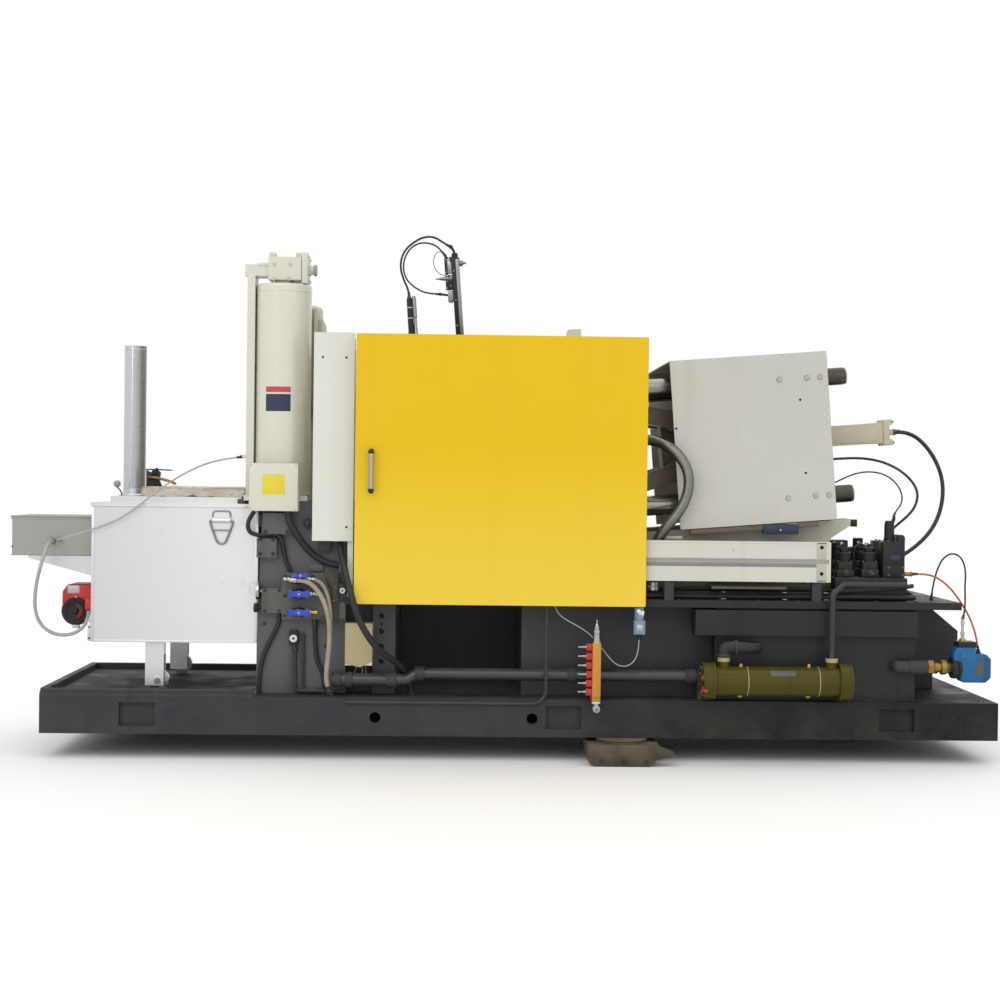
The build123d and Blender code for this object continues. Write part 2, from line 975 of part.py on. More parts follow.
def bar_stretch(radius, start, end, mode=Mode.ADD):
    # The same round stretch on all four tie bar axes of the clamp frame
    with Locations([((start + end) / 2, v, w) for v, w in bar_places]):
        Cylinder(radius, end - start, rotation=(0, 90, 0), mode=mode)


def platen_body(start, thickness):
    # A square plate on two feet, bored for the four tie bars
    slab((start, start + thickness), middle(0, platen_size), middle(0, platen_size))
    for side in (-1, 1):
        slab(
            (start, start + thickness),
            (foot_low, -platen_size / 2),
            middle(side * (platen_size - platen_foot_width) / 2, platen_foot_width),
        )
    bar_stretch(bar_radius + seat_gap, start, start + thickness, mode=Mode.SUBTRACT)


with BuildPart(clamp_plane) as fixed_platen:
    platen_body(0, platen_thickness)
save(fixed_platen, "fixed_platen")

with BuildPart(clamp_plane) as moving_platen:
    platen_body(moving_start, moving_thickness)
    slab(
        middle(moving_start + moving_thickness / 2, pull_block_length),
        (platen_size / 2, platen_size / 2 + pull_block_height),
        middle(0, pull_block_width),
    )
    gland("ribbed_hose", frame=clamp_plane, length=gland_length - seat_gap)
save(moving_platen, "moving_platen")

with BuildPart(clamp_plane) as tail_platen:
    platen_body(tail_start, tail_thickness)
    standoff_x = tail_start + tail_thickness / 2
    standoff_rise = platen_size / 2 - standoff_margin
    standoff_length = (cover_width - platen_size) / 2 - cover_sheet - seat_gap
    for side in (-1, 1):
        standoff_middle = side * (platen_size + standoff_length) / 2
        with Locations([(standoff_x, v * standoff_rise, standoff_middle) for v in (-1, 1)]):
            Cylinder(standoff_radius, standoff_length)
    with Locations((tail_start + tail_thickness / 2, 0, 0)):
        Cylinder(rod_radius + seat_gap, tail_thickness, rotation=(0, 90, 0), mode=Mode.SUBTRACT)
save(tail_platen, "tail_platen")

with BuildPart(clamp_plane) as tie_bars:
    bar_stretch(bar_radius, 0, cover_end)
    bar_stretch(bar_end_radius, cover_end, bar_reach)
save(tie_bars, "tie_bars")

# Toggle: two pairs of links from the platens to the knees, and the crosshead between them
with BuildPart(clamp_plane) as toggle_links:
    front_pin = moving_start + moving_thickness + toggle_link_radius + seat_gap
    rear_pin = tail_start - toggle_link_radius - seat_gap
    for side in (-1, 1):
        with BuildSketch(clamp_plane.offset(side * toggle_link_offset - toggle_link_width / 2)):
            for up in (-1, 1):
                knee = (toggle_knee, up * toggle_knee_rise)
                for end in ((front_pin, up * toggle_front_rise), (rear_pin, up * toggle_rear_rise)):
                    with BuildLine():
                        Line(knee, end)
                    trace(line_width=1.5 * toggle_link_radius)
                    with Locations(knee, end):
                        Circle(toggle_link_radius)
        extrude(amount=toggle_link_width)
    for up in (-1, 1):
        with Locations((toggle_knee, up * toggle_knee_rise, 0)):
            Cylinder(toggle_link_radius / 2, 2 * toggle_link_offset)
    slab(
        middle(toggle_knee, crosshead_length),
        middle(0, 2 * toggle_knee_rise + toggle_link_radius),
        middle(0, crosshead_height),
    )
    with Locations(((toggle_knee + tail_start + tail_thickness) / 2, 0, 0)):
        Cylinder(rod_radius, tail_start + tail_thickness - toggle_knee, rotation=(0, 90, 0))
save(toggle_links, "toggle_links")

# Sheet cover over the tail platen, open to the left and below
with BuildPart(clamp_plane) as tail_cover:
    slab((cover_start, cover_end), middle(0, cover_height), middle(0, cover_width))
    slab(
        (cover_start, cover_end - cover_sheet),
        (-cover_height / 2, cover_height / 2 - cover_sheet),
        middle(0, cover_width - 2 * cover_sheet),
        mode=Mode.SUBTRACT,
    )
    bar_stretch(bar_radius + seat_gap, cover_end - cover_sheet, cover_end, mode=Mode.SUBTRACT)
    with Locations((cover_end - cover_sheet / 2, 0, 0)):
        Cylinder(cylinder_radius + seat_gap, cover_sheet, rotation=(0, 90, 0), mode=Mode.SUBTRACT)
    for hose in ("return_hose", "pilot_hose"):
        gland(hose, frame=clamp_plane, length=gland_length - seat_gap)
save(tail_cover, "tail_cover")

with BuildPart(clamp_plane) as clamp_cylinder:
    cylinder_start = tail_start + tail_thickness + seat_gap
    with Locations(((cylinder_start + cylinder_reach) / 2, 0, 0)):
        Cylinder(cylinder_radius, cylinder_reach - cylinder_start, rotation=(0, 90, 0))
    slab((cylinder_reach - flange_length, cylinder_reach), middle(0, flange_size), middle(0, flange_size))
    slab(
        (cylinder_reach - flange_length / 3, cylinder_reach),
        middle(0, flange_size - 2 * flange_notch),
        middle(0, flange_size),
        mode=Mode.SUBTRACT,
    )
    gland("power_hose", frame=clamp_plane, length=gland_length + flange_length / 2)
save(clamp_cylinder, "clamp_cylinder")

# Slide beams: two wedges that carry the tilted clamp unit on the level deck
with BuildPart() as slide_beams:
    slope = tan(radians(clamp_tilt))
    beam_left_top = deck_top + axis_rise - slide_top_drop / cos(radians(clamp_tilt))
    beam_right = clamp_left + slide_beam_length
    beam_right_top = beam_left_top + slide_beam_length * slope
    beam_y = platen_size / 2 - platen_foot_width / 2
    for side in (-1, 1):
        with BuildSketch(Plane.XZ.offset(side * beam_y - slide_beam_width / 2)):
            with BuildLine():
                Polyline(
                    (clamp_left, deck_top),
                    (beam_right - 2 * slide_nose, deck_top),
                    (beam_right - slide_nose, beam_right_top - slide_nose),
                    (beam_right, beam_right_top - slide_nose / 3),
                    (beam_right, beam_right_top),
                    (clamp_left, beam_left_top),
                    close=True,
                )
            make_face()
        extrude(amount=slide_beam_width)
save(slide_beams, "slide_beams")

# Sliding guard on the front, its rails on both sides and the fixed guard at the back
door_low = deck_top - door_bottom_gap
door_left = clamp_left + door_overlap
door_right = door_left + door_length
door_back = -base_width / 2 - door_thickness
rail_front = door_back + rail_setback
rail_low = deck_top + rail_rise
rail_left = door_left + rail_inset
groove_low = rail_low + rail_groove_rise
with BuildPart() as door_rails:
    for side in (-1, 1):
        rail_y = side * (-rail_front - rail_depth / 2)
        slab((rail_left, rail_left + rail_length), middle(rail_y, rail_depth), (rail_low, rail_low + rail_height))
        slab(
            (rail_left, rail_left + rail_length),
            middle(side * (-rail_front - rail_groove_depth / 2), rail_groove_depth),
            (groove_low, groove_low + rail_groove_height),
            mode=Mode.SUBTRACT,
        )
save(door_rails, "door_rails")

with BuildPart() as rail_posts:
    for side in (-1, 1):
        for post_x in spread(rail_left, rail_length, rail_post_inset, rail_post_count):
            slab(
                middle(post_x, rail_post_length),
                middle(side * (-rail_front - rail_depth / 2), rail_post_width),
                (deck_top, rail_low),
            )
save(rail_posts, "rail_posts")

with BuildPart() as front_door:
    slab((door_left, door_right), (door_back - door_thickness, door_back), (door_low, door_low + door_height))
    fillet(front_door.edges().filter_by(Axis.Y), door_corner_radius)
save(front_door, "front_door")

with BuildPart() as door_rollers:
    roller_z = groove_low + rail_groove_height / 2
    plate_face = rail_front - 5
    for roller_x in spread(door_left, door_length, roller_inset, roller_count):
        slab(
            middle(roller_x, roller_plate_length),
            (door_back, plate_face),
            middle(roller_z, roller_plate_height),
        )
        roller_back = rail_front + roller_thickness + 4
        with Locations((roller_x, (plate_face + roller_back) / 2, roller_z)):
            Cylinder(roller_pin_radius, roller_back - plate_face, rotation=(90, 0, 0))
        with Locations((roller_x, roller_back - roller_thickness / 2, roller_z)):
            Cylinder(roller_radius, roller_thickness, rotation=(90, 0, 0))
save(door_rollers, "door_rollers")

with BuildPart() as door_handle:
    handle_x = door_left + handle_inset
    handle_y = door_back - door_thickness - handle_standoff + handle_radius
    handle_low = door_low + handle_rise
    with Locations((handle_x, handle_y, handle_low + handle_length / 2)):
        Cylinder(handle_radius, handle_length)
    for end_z in (handle_low + handle_radius, handle_low + handle_length - handle_radius):
        slab(
            middle(handle_x, 2 * handle_radius),
            (handle_y, door_back - door_thickness),
            middle(end_z, 2 * handle_radius),
        )
save(door_handle, "door_handle")

with BuildPart() as rear_guard:
    slab((door_left, door_right), (-door_back, door_thickness - door_back), (door_low, door_low + door_height))
    for plate_x in spread(door_left, door_length, roller_inset, roller_count):
        slab(
            middle(plate_x, roller_plate_length),
            (-rail_front + seat_gap, -door_back),
            (groove_low + rail_groove_height, rail_low + rail_height),
        )
save(rear_guard, "rear_guard")

with BuildPart() as side_guards:
    panel_right = clamp_left - side_panel_gap
    panel_low = deck_top + side_panel_rise
    panel_front = door_back + side_panel_setback
    for side in (-1, 1):
        slab(
            (panel_right - side_panel_length, panel_right),
            middle(side * (-panel_front - side_panel_thickness / 2), side_panel_thickness),
            (panel_low, panel_low + side_panel_height),
        )
    post_face = -panel_front - side_panel_thickness - seat_gap
    for side in (-1, 1):
        slab(
            (panel_right - guard_post_length, panel_right),
            middle(side * (post_face - guard_post_width / 2), guard_post_width),
            (deck_top, panel_low + side_panel_height - guard_post_drop),
        )
save(side_guards, "side_guards")

# Holding furnace: stainless box with a folded rim, a handle plate and its barrel
furnace_right = furnace_left + furnace_length
box_y = box_front + box_width / 2
barrel_x = furnace_left + barrel_station
barrel_y = furnace_front - barrel_radius - 1
barrel_z = furnace_top - barrel_drop
ring_bore = ring_wire_radius + running_gap
with BuildPart() as furnace:
    slab((furnace_left, furnace_right), middle(0, furnace_width), (furnace_low, furnace_top))
    slab(
        (furnace_left - furnace_rim, furnace_right),
        middle(0, furnace_width + 2 * furnace_rim),
        (furnace_top - furnace_rim_height, furnace_top),
    )
    slab(
        (furnace_left + furnace_lid_inset, furnace_right - furnace_lid_inset),
        middle(0, furnace_width - 2 * furnace_lid_inset),
        (furnace_top, furnace_top + furnace_lid_height),
    )
    slab(
        middle(barrel_x, barrel_length),
        (furnace_front - hasp_thickness, furnace_front),
        (barrel_z - barrel_radius, barrel_z + hasp_height),
    )
    with Locations((barrel_x, barrel_y, barrel_z)):
        Cylinder(barrel_radius, barrel_length, rotation=(0, 90, 0))
        Cylinder(ring_bore, barrel_length, rotation=(0, 90, 0), mode=Mode.SUBTRACT)
    for side in (-1, 1):
        with BuildSketch(Plane.XZ.offset(-box_y + side * (box_width / 2 - bracket_sheet) - bracket_sheet / 2)):
            with BuildLine():
                Polyline(
                    (box_left + bracket_start, box_low - seat_gap),
                    (furnace_left, box_low - seat_gap),
                    (furnace_left, box_low - bracket_drop),
                    (box_left + bracket_start, box_low - bracket_tip),
                    close=True,
                )
            make_face()
        extrude(amount=bracket_sheet)
save(furnace, "furnace")

with BuildPart() as furnace_blanket:
    blanket_low = furnace_top + furnace_lid_height + seat_gap
    blanket_right = furnace_right - furnace_lid_inset
    slab(
        (blanket_right - blanket_length, blanket_right),
        middle(0, blanket_width),
        (blanket_low, blanket_low + blanket_thickness),
    )
save(furnace_blanket, "furnace_blanket")

with BuildPart() as flue_pipe:
    flue_low = furnace_top + furnace_lid_height
    with Locations((furnace_left + flue_station, 0, flue_low + flue_height / 2)):
        Cylinder(flue_radius, flue_height)
        Cylinder(flue_radius - flue_wall, flue_height, mode=Mode.SUBTRACT)
save(flue_pipe, "flue_pipe")

# Trolley legs: folded plates with a wheel inside each, and one more pair at the left end
leg_places = [(furnace_left + leg_station, side * (furnace_width / 2 - leg_width)) for side in (-1, 1)]
with BuildPart() as furnace_legs:
    for leg_x, leg_y in leg_places:
        slab(middle(leg_x, leg_length), middle(leg_y, leg_width), (base_top + leg_clearance, furnace_low))
        slab(
            (leg_x - leg_length / 2 + leg_sheet, leg_x + leg_length / 2),
            middle(leg_y, leg_width - 2 * leg_sheet),
            (base_top + leg_clearance, furnace_low - leg_cap_height),
            mode=Mode.SUBTRACT,
        )
        with Locations((leg_x + leg_length / 6, leg_y, base_top + wheel_radius)):
            Cylinder(wheel_bolt_radius, leg_width, rotation=(90, 0, 0))
save(furnace_legs, "furnace_legs")

with BuildPart() as furnace_wheels:
    for leg_x, leg_y in leg_places:
        with Locations((leg_x + leg_length / 6, leg_y, base_top + wheel_radius)):
            Cylinder(wheel_radius, wheel_width, rotation=(90, 0, 0))
            Cylinder(wheel_bolt_radius + seat_gap, wheel_width, rotation=(90, 0, 0), mode=Mode.SUBTRACT)
save(furnace_wheels, "furnace_wheels")

# Drop handle: a triangular wire ring that hangs in the barrel
with BuildPart() as furnace_handle:
    half_top = ring_width / 2
    half_tip = ring_tip_width / 2
    top_left = (barrel_x - half_top, barrel_z)
    top_right = (barrel_x + half_top, barrel_z)
    tip_right = (barrel_x + half_tip, barrel_z - ring_drop)
    tip_left = (barrel_x - half_tip, barrel_z - ring_drop)
    with BuildLine(Plane.XZ.offset(-barrel_y)) as ring_path:
        Polyline(top_left, top_right, tip_right, tip_left, close=True)
        fillet(ring_path.vertices(), 3 * ring_wire_radius)
    ring_wire = ring_path.wires()[0]
    with BuildSketch(Plane(origin=ring_wire @ 0, z_dir=ring_wire % 0)):
        Circle(ring_wire_radius)
    sweep(path=ring_wire)
    crossbar_share = ring_crossbar_drop / ring_drop
    crossbar_half = half_top + (half_tip - half_top) * crossbar_share
    with Locations((barrel_x, barrel_y, barrel_z - ring_crossbar_drop)):
        Cylinder(ring_wire_radius * 0.75, 2 * crossbar_half, rotation=(0, 90, 0))
save(furnace_handle, "furnace_handle")

# Gas burner and the control box on the furnace's left end
with BuildPart() as burner:
    burner_right = furnace_left - seat_gap
    burner_y = furnace_front + burner_station
    burner_low = furnace_low + burner_rise
    slab(
        (burner_right - burner_length, burner_right),
        middle(burner_y, burner_width),
        (burner_low, burner_low + burner_height),
    )
    with Locations((
        burner_right - burner_dial_run,
        burner_y - (burner_width + burner_dial_depth) / 2,
        burner_low + burner_dial_rise,
    )):
        Cylinder(burner_dial_radius, burner_dial_depth, rotation=(90, 0, 0))
    socket_low, socket_high = burner_socket_rises
    burner_face = burner_y - burner_width / 2
    slab(
        (burner_right - burner_socket_length, burner_right),
        (burner_face - burner_socket_depth, burner_face),
        (burner_low + socket_low, burner_low + socket_high),
    )
    gland("burner_conduit", at_end=True)
save(burner, "burner")

with BuildPart() as control_box:
    box_right = furnace_left - seat_gap
    slab((box_left + box_lid_overlap, box_right), middle(box_y, box_width), (box_low, box_low + box_height))
    slab(
        (box_left, furnace_left - furnace_rim - seat_gap),
        middle(box_y, box_width + 2 * box_lid_overlap),
        (box_low + box_height, box_low + box_height + box_lid_thickness),
    )
    for hose in ("burner_conduit", "furnace_cable"):
        gland(hose, length=gland_length + gland_sink)
save(control_box, "control_box")

# Valve plate with three ball valves on the stand's front
with BuildPart() as valve_plate:
    valve_plate_left = stand_left + valve_plate_station
    valve_plate_right = valve_plate_left + valve_plate_length
    plate_stretches = (
        (valve_plate_left, valve_plate_right, 0, valve_plate_height),
        (valve_plate_left - plate_arm_length, valve_plate_left, *plate_arm_rises),
        (valve_plate_right, valve_plate_right + plate_block_length, *plate_block_rises),
    )
    for left, right, low, high in plate_stretches:
        slab((left, right), (valve_plate_face, stand_front - seat_gap), (valve_plate_low + low, valve_plate_low + high))
save(valve_plate, "valve_plate")

with BuildPart() as water_valves:
    for rise, length in zip(valve_rises, valve_lengths):
        slab(middle(valve_x, length), (valve_face, valve_plate_face), middle(valve_plate_low + rise, valve_height))
    slab(
        (hose_elbow_right - hose_elbow_length, hose_elbow_right),
        (valve_face - hose_elbow_depth, valve_face),
        middle(valve_plate_low + valve_rises[-1], valve_height),
    )
save(water_valves, "water_valves")

# Cooling water pipe along the bed, in two diameters with a joint between
with BuildPart() as cooling_pipe:
    pipe_left = stand_right - pipe_start_gap
    joint_left = pipe_left + pipe_joint_start
    block_left = tank_left - pipe_block_gap - pipe_block_length
    with Locations(((pipe_left + joint_left) / 2, -pipe_front, base_top + pipe_rise)):
        Cylinder(pipe_radius, joint_left - pipe_left, rotation=(0, 90, 0))
    with BuildLine(Plane.XZ.offset(pipe_front)):
        FilletPolyline(
            (joint_left - 1, base_top + pipe_rise),
            (joint_left + pipe_joint_length, base_top + pipe_rise),
            (joint_left + 3 * pipe_joint_length, base_top + pipe_slim_rise),
            (block_left + 1, base_top + pipe_slim_rise),
            radius=1.4 * pipe_joint_length,
        )
    with BuildSketch(Plane(origin=(joint_left - 1, -pipe_front, base_top + pipe_rise), z_dir=(1, 0, 0))):
        Circle(pipe_slim_radius)
    sweep()
    slab(
        (block_left, block_left + pipe_block_length),
        middle(-pipe_front, pipe_block_width),
        (base_top, base_top + pipe_block_height),
    )
save(cooling_pipe, "cooling_pipe")

# Oil cooler on two saddles at the tank's front
cooler_left = tank_left + cooler_start
cooler_right = cooler_left + cooler_length
cooler_z = base_top + cooler_rise
cooler_port_top = cooler_z + cooler_radius + cooler_port_height
with BuildPart() as oil_cooler:
    with Locations(((cooler_left + cooler_right) / 2, -cooler_front, cooler_z)):
        Cylinder(cooler_radius, cooler_length, rotation=(0, 90, 0))
    for cap_x in (cooler_left - cooler_cap_length / 2, cooler_right + cooler_cap_length / 2):
        with Locations((cap_x, -cooler_front, cooler_z)):
            Cylinder(cooler_cap_radius, cooler_cap_length, rotation=(0, 90, 0))
    for inset in cooler_port_insets:
        with Locations((cooler_left + inset, -cooler_front, (cooler_z + cooler_port_top) / 2)):
            Cylinder(cooler_port_radius, cooler_port_top - cooler_z)
        slab(
            middle(cooler_left + inset, saddle_length),
            (-cooler_front, tank_front - seat_gap),
            middle(cooler_z, cooler_radius),
        )
save(oil_cooler, "oil_cooler")

# Thin conduit along the base and up to the deck, and the riser from the cooler to the valve bank
with BuildPart() as side_pipes:
    conduit_y = base_front - conduit_radius - seat_gap
    conduit_left = stand_right + conduit_start
    conduit_z = base_top - conduit_drop
    conduit_right = conduit_left + conduit_length
    with BuildLine(Plane.XZ.offset(-conduit_y)):
        FilletPolyline(
            (conduit_left, conduit_z),
            (conduit_right, conduit_z),
            (conduit_right, deck_top - seat_gap),
            radius=conduit_bend,
        )
    with BuildSketch(Plane(origin=(conduit_left, conduit_y, conduit_z), z_dir=(1, 0, 0))):
        Circle(conduit_radius)
    sweep()
    riser_start = (cooler_left + cooler_port_insets[1], -cooler_front, cooler_port_top + seat_gap)
    riser_z = bank_top - riser_end_drop
    riser_end_x = bank_right - riser_end_inset
    riser_path = [
        riser_start,
        (riser_start[0], -cooler_front, deck_top + riser_top / 2),
        (riser_start[0] + riser_top, -riser_front, riser_z - seat_gap),
        (riser_end_x, -riser_front, riser_z),
        (riser_end_x, -valve_bank_front - seat_gap, riser_z),
    ]
    with BuildLine():
        FilletPolyline(*riser_path, radius=2 * riser_radius - 2)
    with BuildSketch(Plane(origin=riser_start, z_dir=(0, 0, 1))):
        Circle(riser_radius)
    sweep()
save(side_pipes, "side_pipes")

# Water manifold: an upright bar with a nozzle column, standing on the base edge
with BuildPart() as water_manifold:
    bar_left = drop_right + manifold_station + manifold_column_length
    bar_right = bar_left + manifold_bar_length
    bar_top = base_top + manifold_bar_height
    column_low = base_top + manifold_column_rise
    slab((bar_left, bar_right), middle(-manifold_front, manifold_bar_depth), (base_top, bar_top))
    slab(
        (bar_left - manifold_column_length, bar_left),
        middle(-manifold_front, manifold_column_depth),
        (column_low, column_low + manifold_column_height),
    )
    slab(
        (bar_left, bar_right),
        (-manifold_front, base_front + manifold_seat_depth),
        (base_top, base_top + manifold_foot_height),
    )
    inlet_x = bar_left + manifold_bar_length / 2
    inlet_z = base_top - inlet_drop
    with Locations((inlet_x, -manifold_front, bar_top + manifold_knob_height / 2)):
        Cylinder(manifold_knob_radius, manifold_knob_height)
    with Locations((inlet_x, -manifold_front, (base_top + inlet_z) / 2)):
        Cylinder(inlet_radius, inlet_drop)
    with Locations((inlet_x, -manifold_front - inlet_length / 2, inlet_z)):
        Cylinder(inlet_radius, inlet_length, rotation=(90, 0, 0))
        Cylinder(inlet_bore_radius, inlet_length, rotation=(90, 0, 0), mode=Mode.SUBTRACT)
save(water_manifold, "water_manifold")

# Limit switch under the deck edge, struck by the sliding guard
with BuildPart() as limit_switch:
    switch_low = switch_top - switch_height
    slab(middle(switch_x, switch_length), middle(switch_y, switch_depth), (switch_low, switch_top))
    slab(
        middle(switch_x, switch_length - 2 * switch_plate_inset),
        (switch_y, base_front + switch_offset),
        (switch_low, tank_top),
    )
    slab(
        middle(switch_x, switch_length / 2),
        middle(switch_y, switch_depth * 0.7),
        (switch_top, switch_top + switch_head_height),
    )
    roller_rise = switch_head_height + switch_roller_radius * 0.7
    with Locations((switch_x, switch_y, switch_top + roller_rise)):
        Cylinder(switch_roller_radius, switch_roller_width, rotation=(90, 0, 0))
    gland("switch_cable", length=gland_length / 2)
save(limit_switch, "limit_switch")

# Valve bank on the deck: a manifold block with two rows of valves and one upright solenoid
with BuildPart() as valve_bank:
    slab((bank_left, bank_right), (-valve_bank_front, valve_bank_width - valve_bank_front), (deck_top, bank_top))
    for column in range(3):
        for row_y in (front_row_y, back_row_y):
            slab(
                middle(body_x - column * valve_body_pitch, valve_body_length),
                middle(row_y, valve_body_width),
                (bank_top, body_top),
            )
    with Locations((body_x, front_row_y, body_top + solenoid_height / 2)):
        Cylinder(solenoid_radius, solenoid_height)
    gland("power_hose", at_end=True, length=2 * gland_length)
    gland("return_hose", at_end=True, length=2 * gland_length)
    gland("pilot_hose", at_end=True, length=gland_length + gland_sink)
    gland("flow_cable", length=2 * gland_length + gland_sink)
save(valve_bank, "valve_bank")

# Pump motor beside the tank on its foot, and the sloped pump cover on the tank's end
with BuildPart() as pump_motor:
    motor_z = base_top + motor_rise
    with Locations((tank_right + seat_gap + motor_length / 2, motor_offset, motor_z)):
        Cylinder(motor_radius, motor_length, rotation=(0, 90, 0))
    slab(
        (tank_right + motor_foot_inset, tank_right + motor_length - motor_foot_inset),
        middle(motor_offset, 1.5 * motor_radius),
        (base_top, motor_z),
    )
    cover_left = tank_right + seat_gap
    cover_right = tank_right + pump_cover_length
    cover_low, corner_low, corner_high, cover_high = [base_top + height for height in pump_cover_heights]
    with BuildSketch(Plane.XZ.offset(-pump_cover_offset - pump_cover_width / 2)):
        with BuildLine():
            Polyline(
                (cover_left, cover_low),
                (cover_right - (corner_low - cover_low), cover_low),
                (cover_right, corner_low),
                (cover_right, corner_high),
                (cover_right - pump_cover_slope, cover_high),
                (cover_left, cover_high),
                close=True,
            )
        make_face()
    extrude(amount=pump_cover_width)
save(pump_motor, "pump_motor")

# Flow switch: an elbow pipe from the tank's front, a nut, a coupling and a head with a wiring stem
with BuildPart() as flow_switch:
    elbow_x = tank_right - flow_elbow_inset
    with BuildLine(Plane.XY.offset(flow_z)):
        FilletPolyline(
            (elbow_x, tank_front - seat_gap),
            (elbow_x, -flow_pipe_front),
            (flow_nut_left, -flow_pipe_front),
            radius=flow_pipe_radius + 6,
        )
    with BuildSketch(Plane(origin=(elbow_x, tank_front - seat_gap, flow_z), z_dir=(0, -1, 0))):
        Circle(flow_pipe_radius)
    sweep()
    for radius, left, right in (
        (flow_nut_radius, flow_nut_left, flow_nut_left + flow_nut_length),
        (flow_coupling_radius, flow_nut_left + flow_nut_length, flow_head_left),
    ):
        with Locations(((left + right) / 2, -flow_pipe_front, flow_z)):
            Cylinder(radius, right - left, rotation=(0, 90, 0))
    head_right = flow_head_left + flow_head_length
    lid_right = flow_head_left + flow_head_length / 2
    neck_top = flow_head_top + flow_neck_height
    head_y = middle(-flow_pipe_front, flow_head_width)
    slab((flow_head_left, head_right), head_y, middle(flow_z, flow_head_height))
    slab((lid_right - flow_neck_length, lid_right), head_y, (flow_head_top - flow_neck_height, neck_top))
    slab((lid_right - flow_lid_length, lid_right), head_y, (neck_top, flow_lid_top))
    stem_top = flow_lid_top + flow_stem_height - gland_length / 2
    with Locations((flow_head_left + flow_stem_start, -flow_pipe_front, (neck_top + stem_top) / 2)):
        Cylinder(flow_stem_radius, stem_top - neck_top)
    gland("valve_cable", at_end=True)
    gland("flow_cable", at_end=True)
save(flow_switch, "flow_switch")

# Spray unit: an arm on the fixed platen that carries a post with nozzle blocks, and a spray gun
with BuildPart(clamp_plane) as spray_unit:
    arm_low = platen_size / 2 + spray_arm_rise
    foot_end = spray_foot_start + spray_foot_length
    post_end = spray_post_reach + spray_post_length / 2
    post_top = spray_top + spray_post_height
    slab((spray_foot_start, foot_end), (platen_size / 2, arm_low), middle(spray_offset / 2, 2 * spray_arm_width))
    slab((spray_foot_start, post_end), (arm_low, spray_top), middle(spray_offset, spray_arm_width))
    slab(
        middle(spray_post_reach, spray_post_length),
        (spray_top, post_top),
        middle(spray_offset, spray_post_length),
    )
    slab(
        middle(spray_post_reach, spray_cap_length),
        (post_top, post_top + spray_cap_height),
        middle(spray_offset, spray_post_length),
    )
    block_right = spray_post_reach - spray_post_length / 2
    for low, high in spray_block_rises:
        slab(
            (block_right - spray_block_length, block_right),
            (spray_top + low, spray_top + high),
            middle(spray_offset, spray_block_width),
        )
    with Locations((block_right - spray_nozzle_length, spray_top + spray_nozzle_rise, spray_offset)):
        Cylinder(spray_nozzle_radius, 2 * spray_nozzle_length, rotation=(0, 90, 0))
    for radius, reach, height in (
        (spray_gun_radius, spray_gun_reach, spray_gun_height - seat_gap),
        (spray_tube_radius, spray_tube_reach, spray_tube_height),
    ):
        with Locations((reach, spray_top + height / 2, spray_offset)):
            Cylinder(radius, height, rotation=(90, 0, 0))
    gland("spray_hose", at_end=True, frame=clamp_plane, length=2 * gland_length)
    gland("spray_return", frame=clamp_plane, length=2 * gland_length)
    gland("spray_return", at_end=True, frame=clamp_plane, length=3 * gland_length)
save(spray_unit, "spray_unit")

# Hard hoses clipped to the stand's front: the oil bundle and the drain
with BuildPart() as stand_hoses:
    bundle_y = stand_front - seat_gap - oil_bundle_diameter / 2
    drain_y = stand_front - seat_gap - drain_hose_diameter / 2
    bundle_out = stand_front - block_depth - oil_bundle_diameter / 2 - 2
    bundle_route = [
        (-972, bundle_out, cover_box_low - seat_gap),
        (-972, bundle_out, 1078),
        (-942, bundle_out, 1022),
        (-902, bundle_y - 20, 962),
        (-858, bundle_y, 914),
        (-802, bundle_y, 882),
        (stand_right - end_block_length - 4, bundle_y, 871),
    ]
    drain_route = [
        (-1011, drain_y, valve_plate_low + plate_arm_rises[0] - seat_gap),
        (-1011, drain_y, 612),
        (-1030, drain_y, 566),
        (-1056, drain_y, 516),
        (-1083, drain_y, 456),
        (-1097, drain_y, 390),
        (-1101, drain_y, 330),
        (-1101.5, drain_y, base_top + seat_gap),
    ]
    for diameter, route in ((oil_bundle_diameter, bundle_route), (drain_hose_diameter, drain_route)):
        with BuildLine() as hard_line:
            FilletPolyline(*route, radius=bend_radii(route))
        with BuildSketch(Plane(origin=hard_line.line @ 0, z_dir=hard_line.line % 0)):
            Circle(diameter / 2)
        sweep(path=hard_line.line)
save(stand_hoses, "stand_hoses")

# Free hoses and cables: straight runs joined by arcs
for name, (diameter, route) in routes.items():
    with BuildPart() as free_hose:
        with BuildLine() as hose_line:
            FilletPolyline(*route, radius=bend_radii(route))
        with BuildSketch(Plane(origin=hose_line.line @ 0, z_dir=hose_line.line % 0)):
            Circle(diameter / 2)
        sweep(path=hose_line.line)
    save(free_hose, name)
    length = hose_line.wires()[0].length
    share = free_hose.part.volume / (pi * diameter**2 / 4 * length)
    print(name, f"length {length:.0f}, volume share {share:.3f}, radii", [round(radius) for radius in bend_radii(route)])
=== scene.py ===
import json
import math

import bmesh
import bpy
from mathutils import Euler, Matrix, Vector, noise


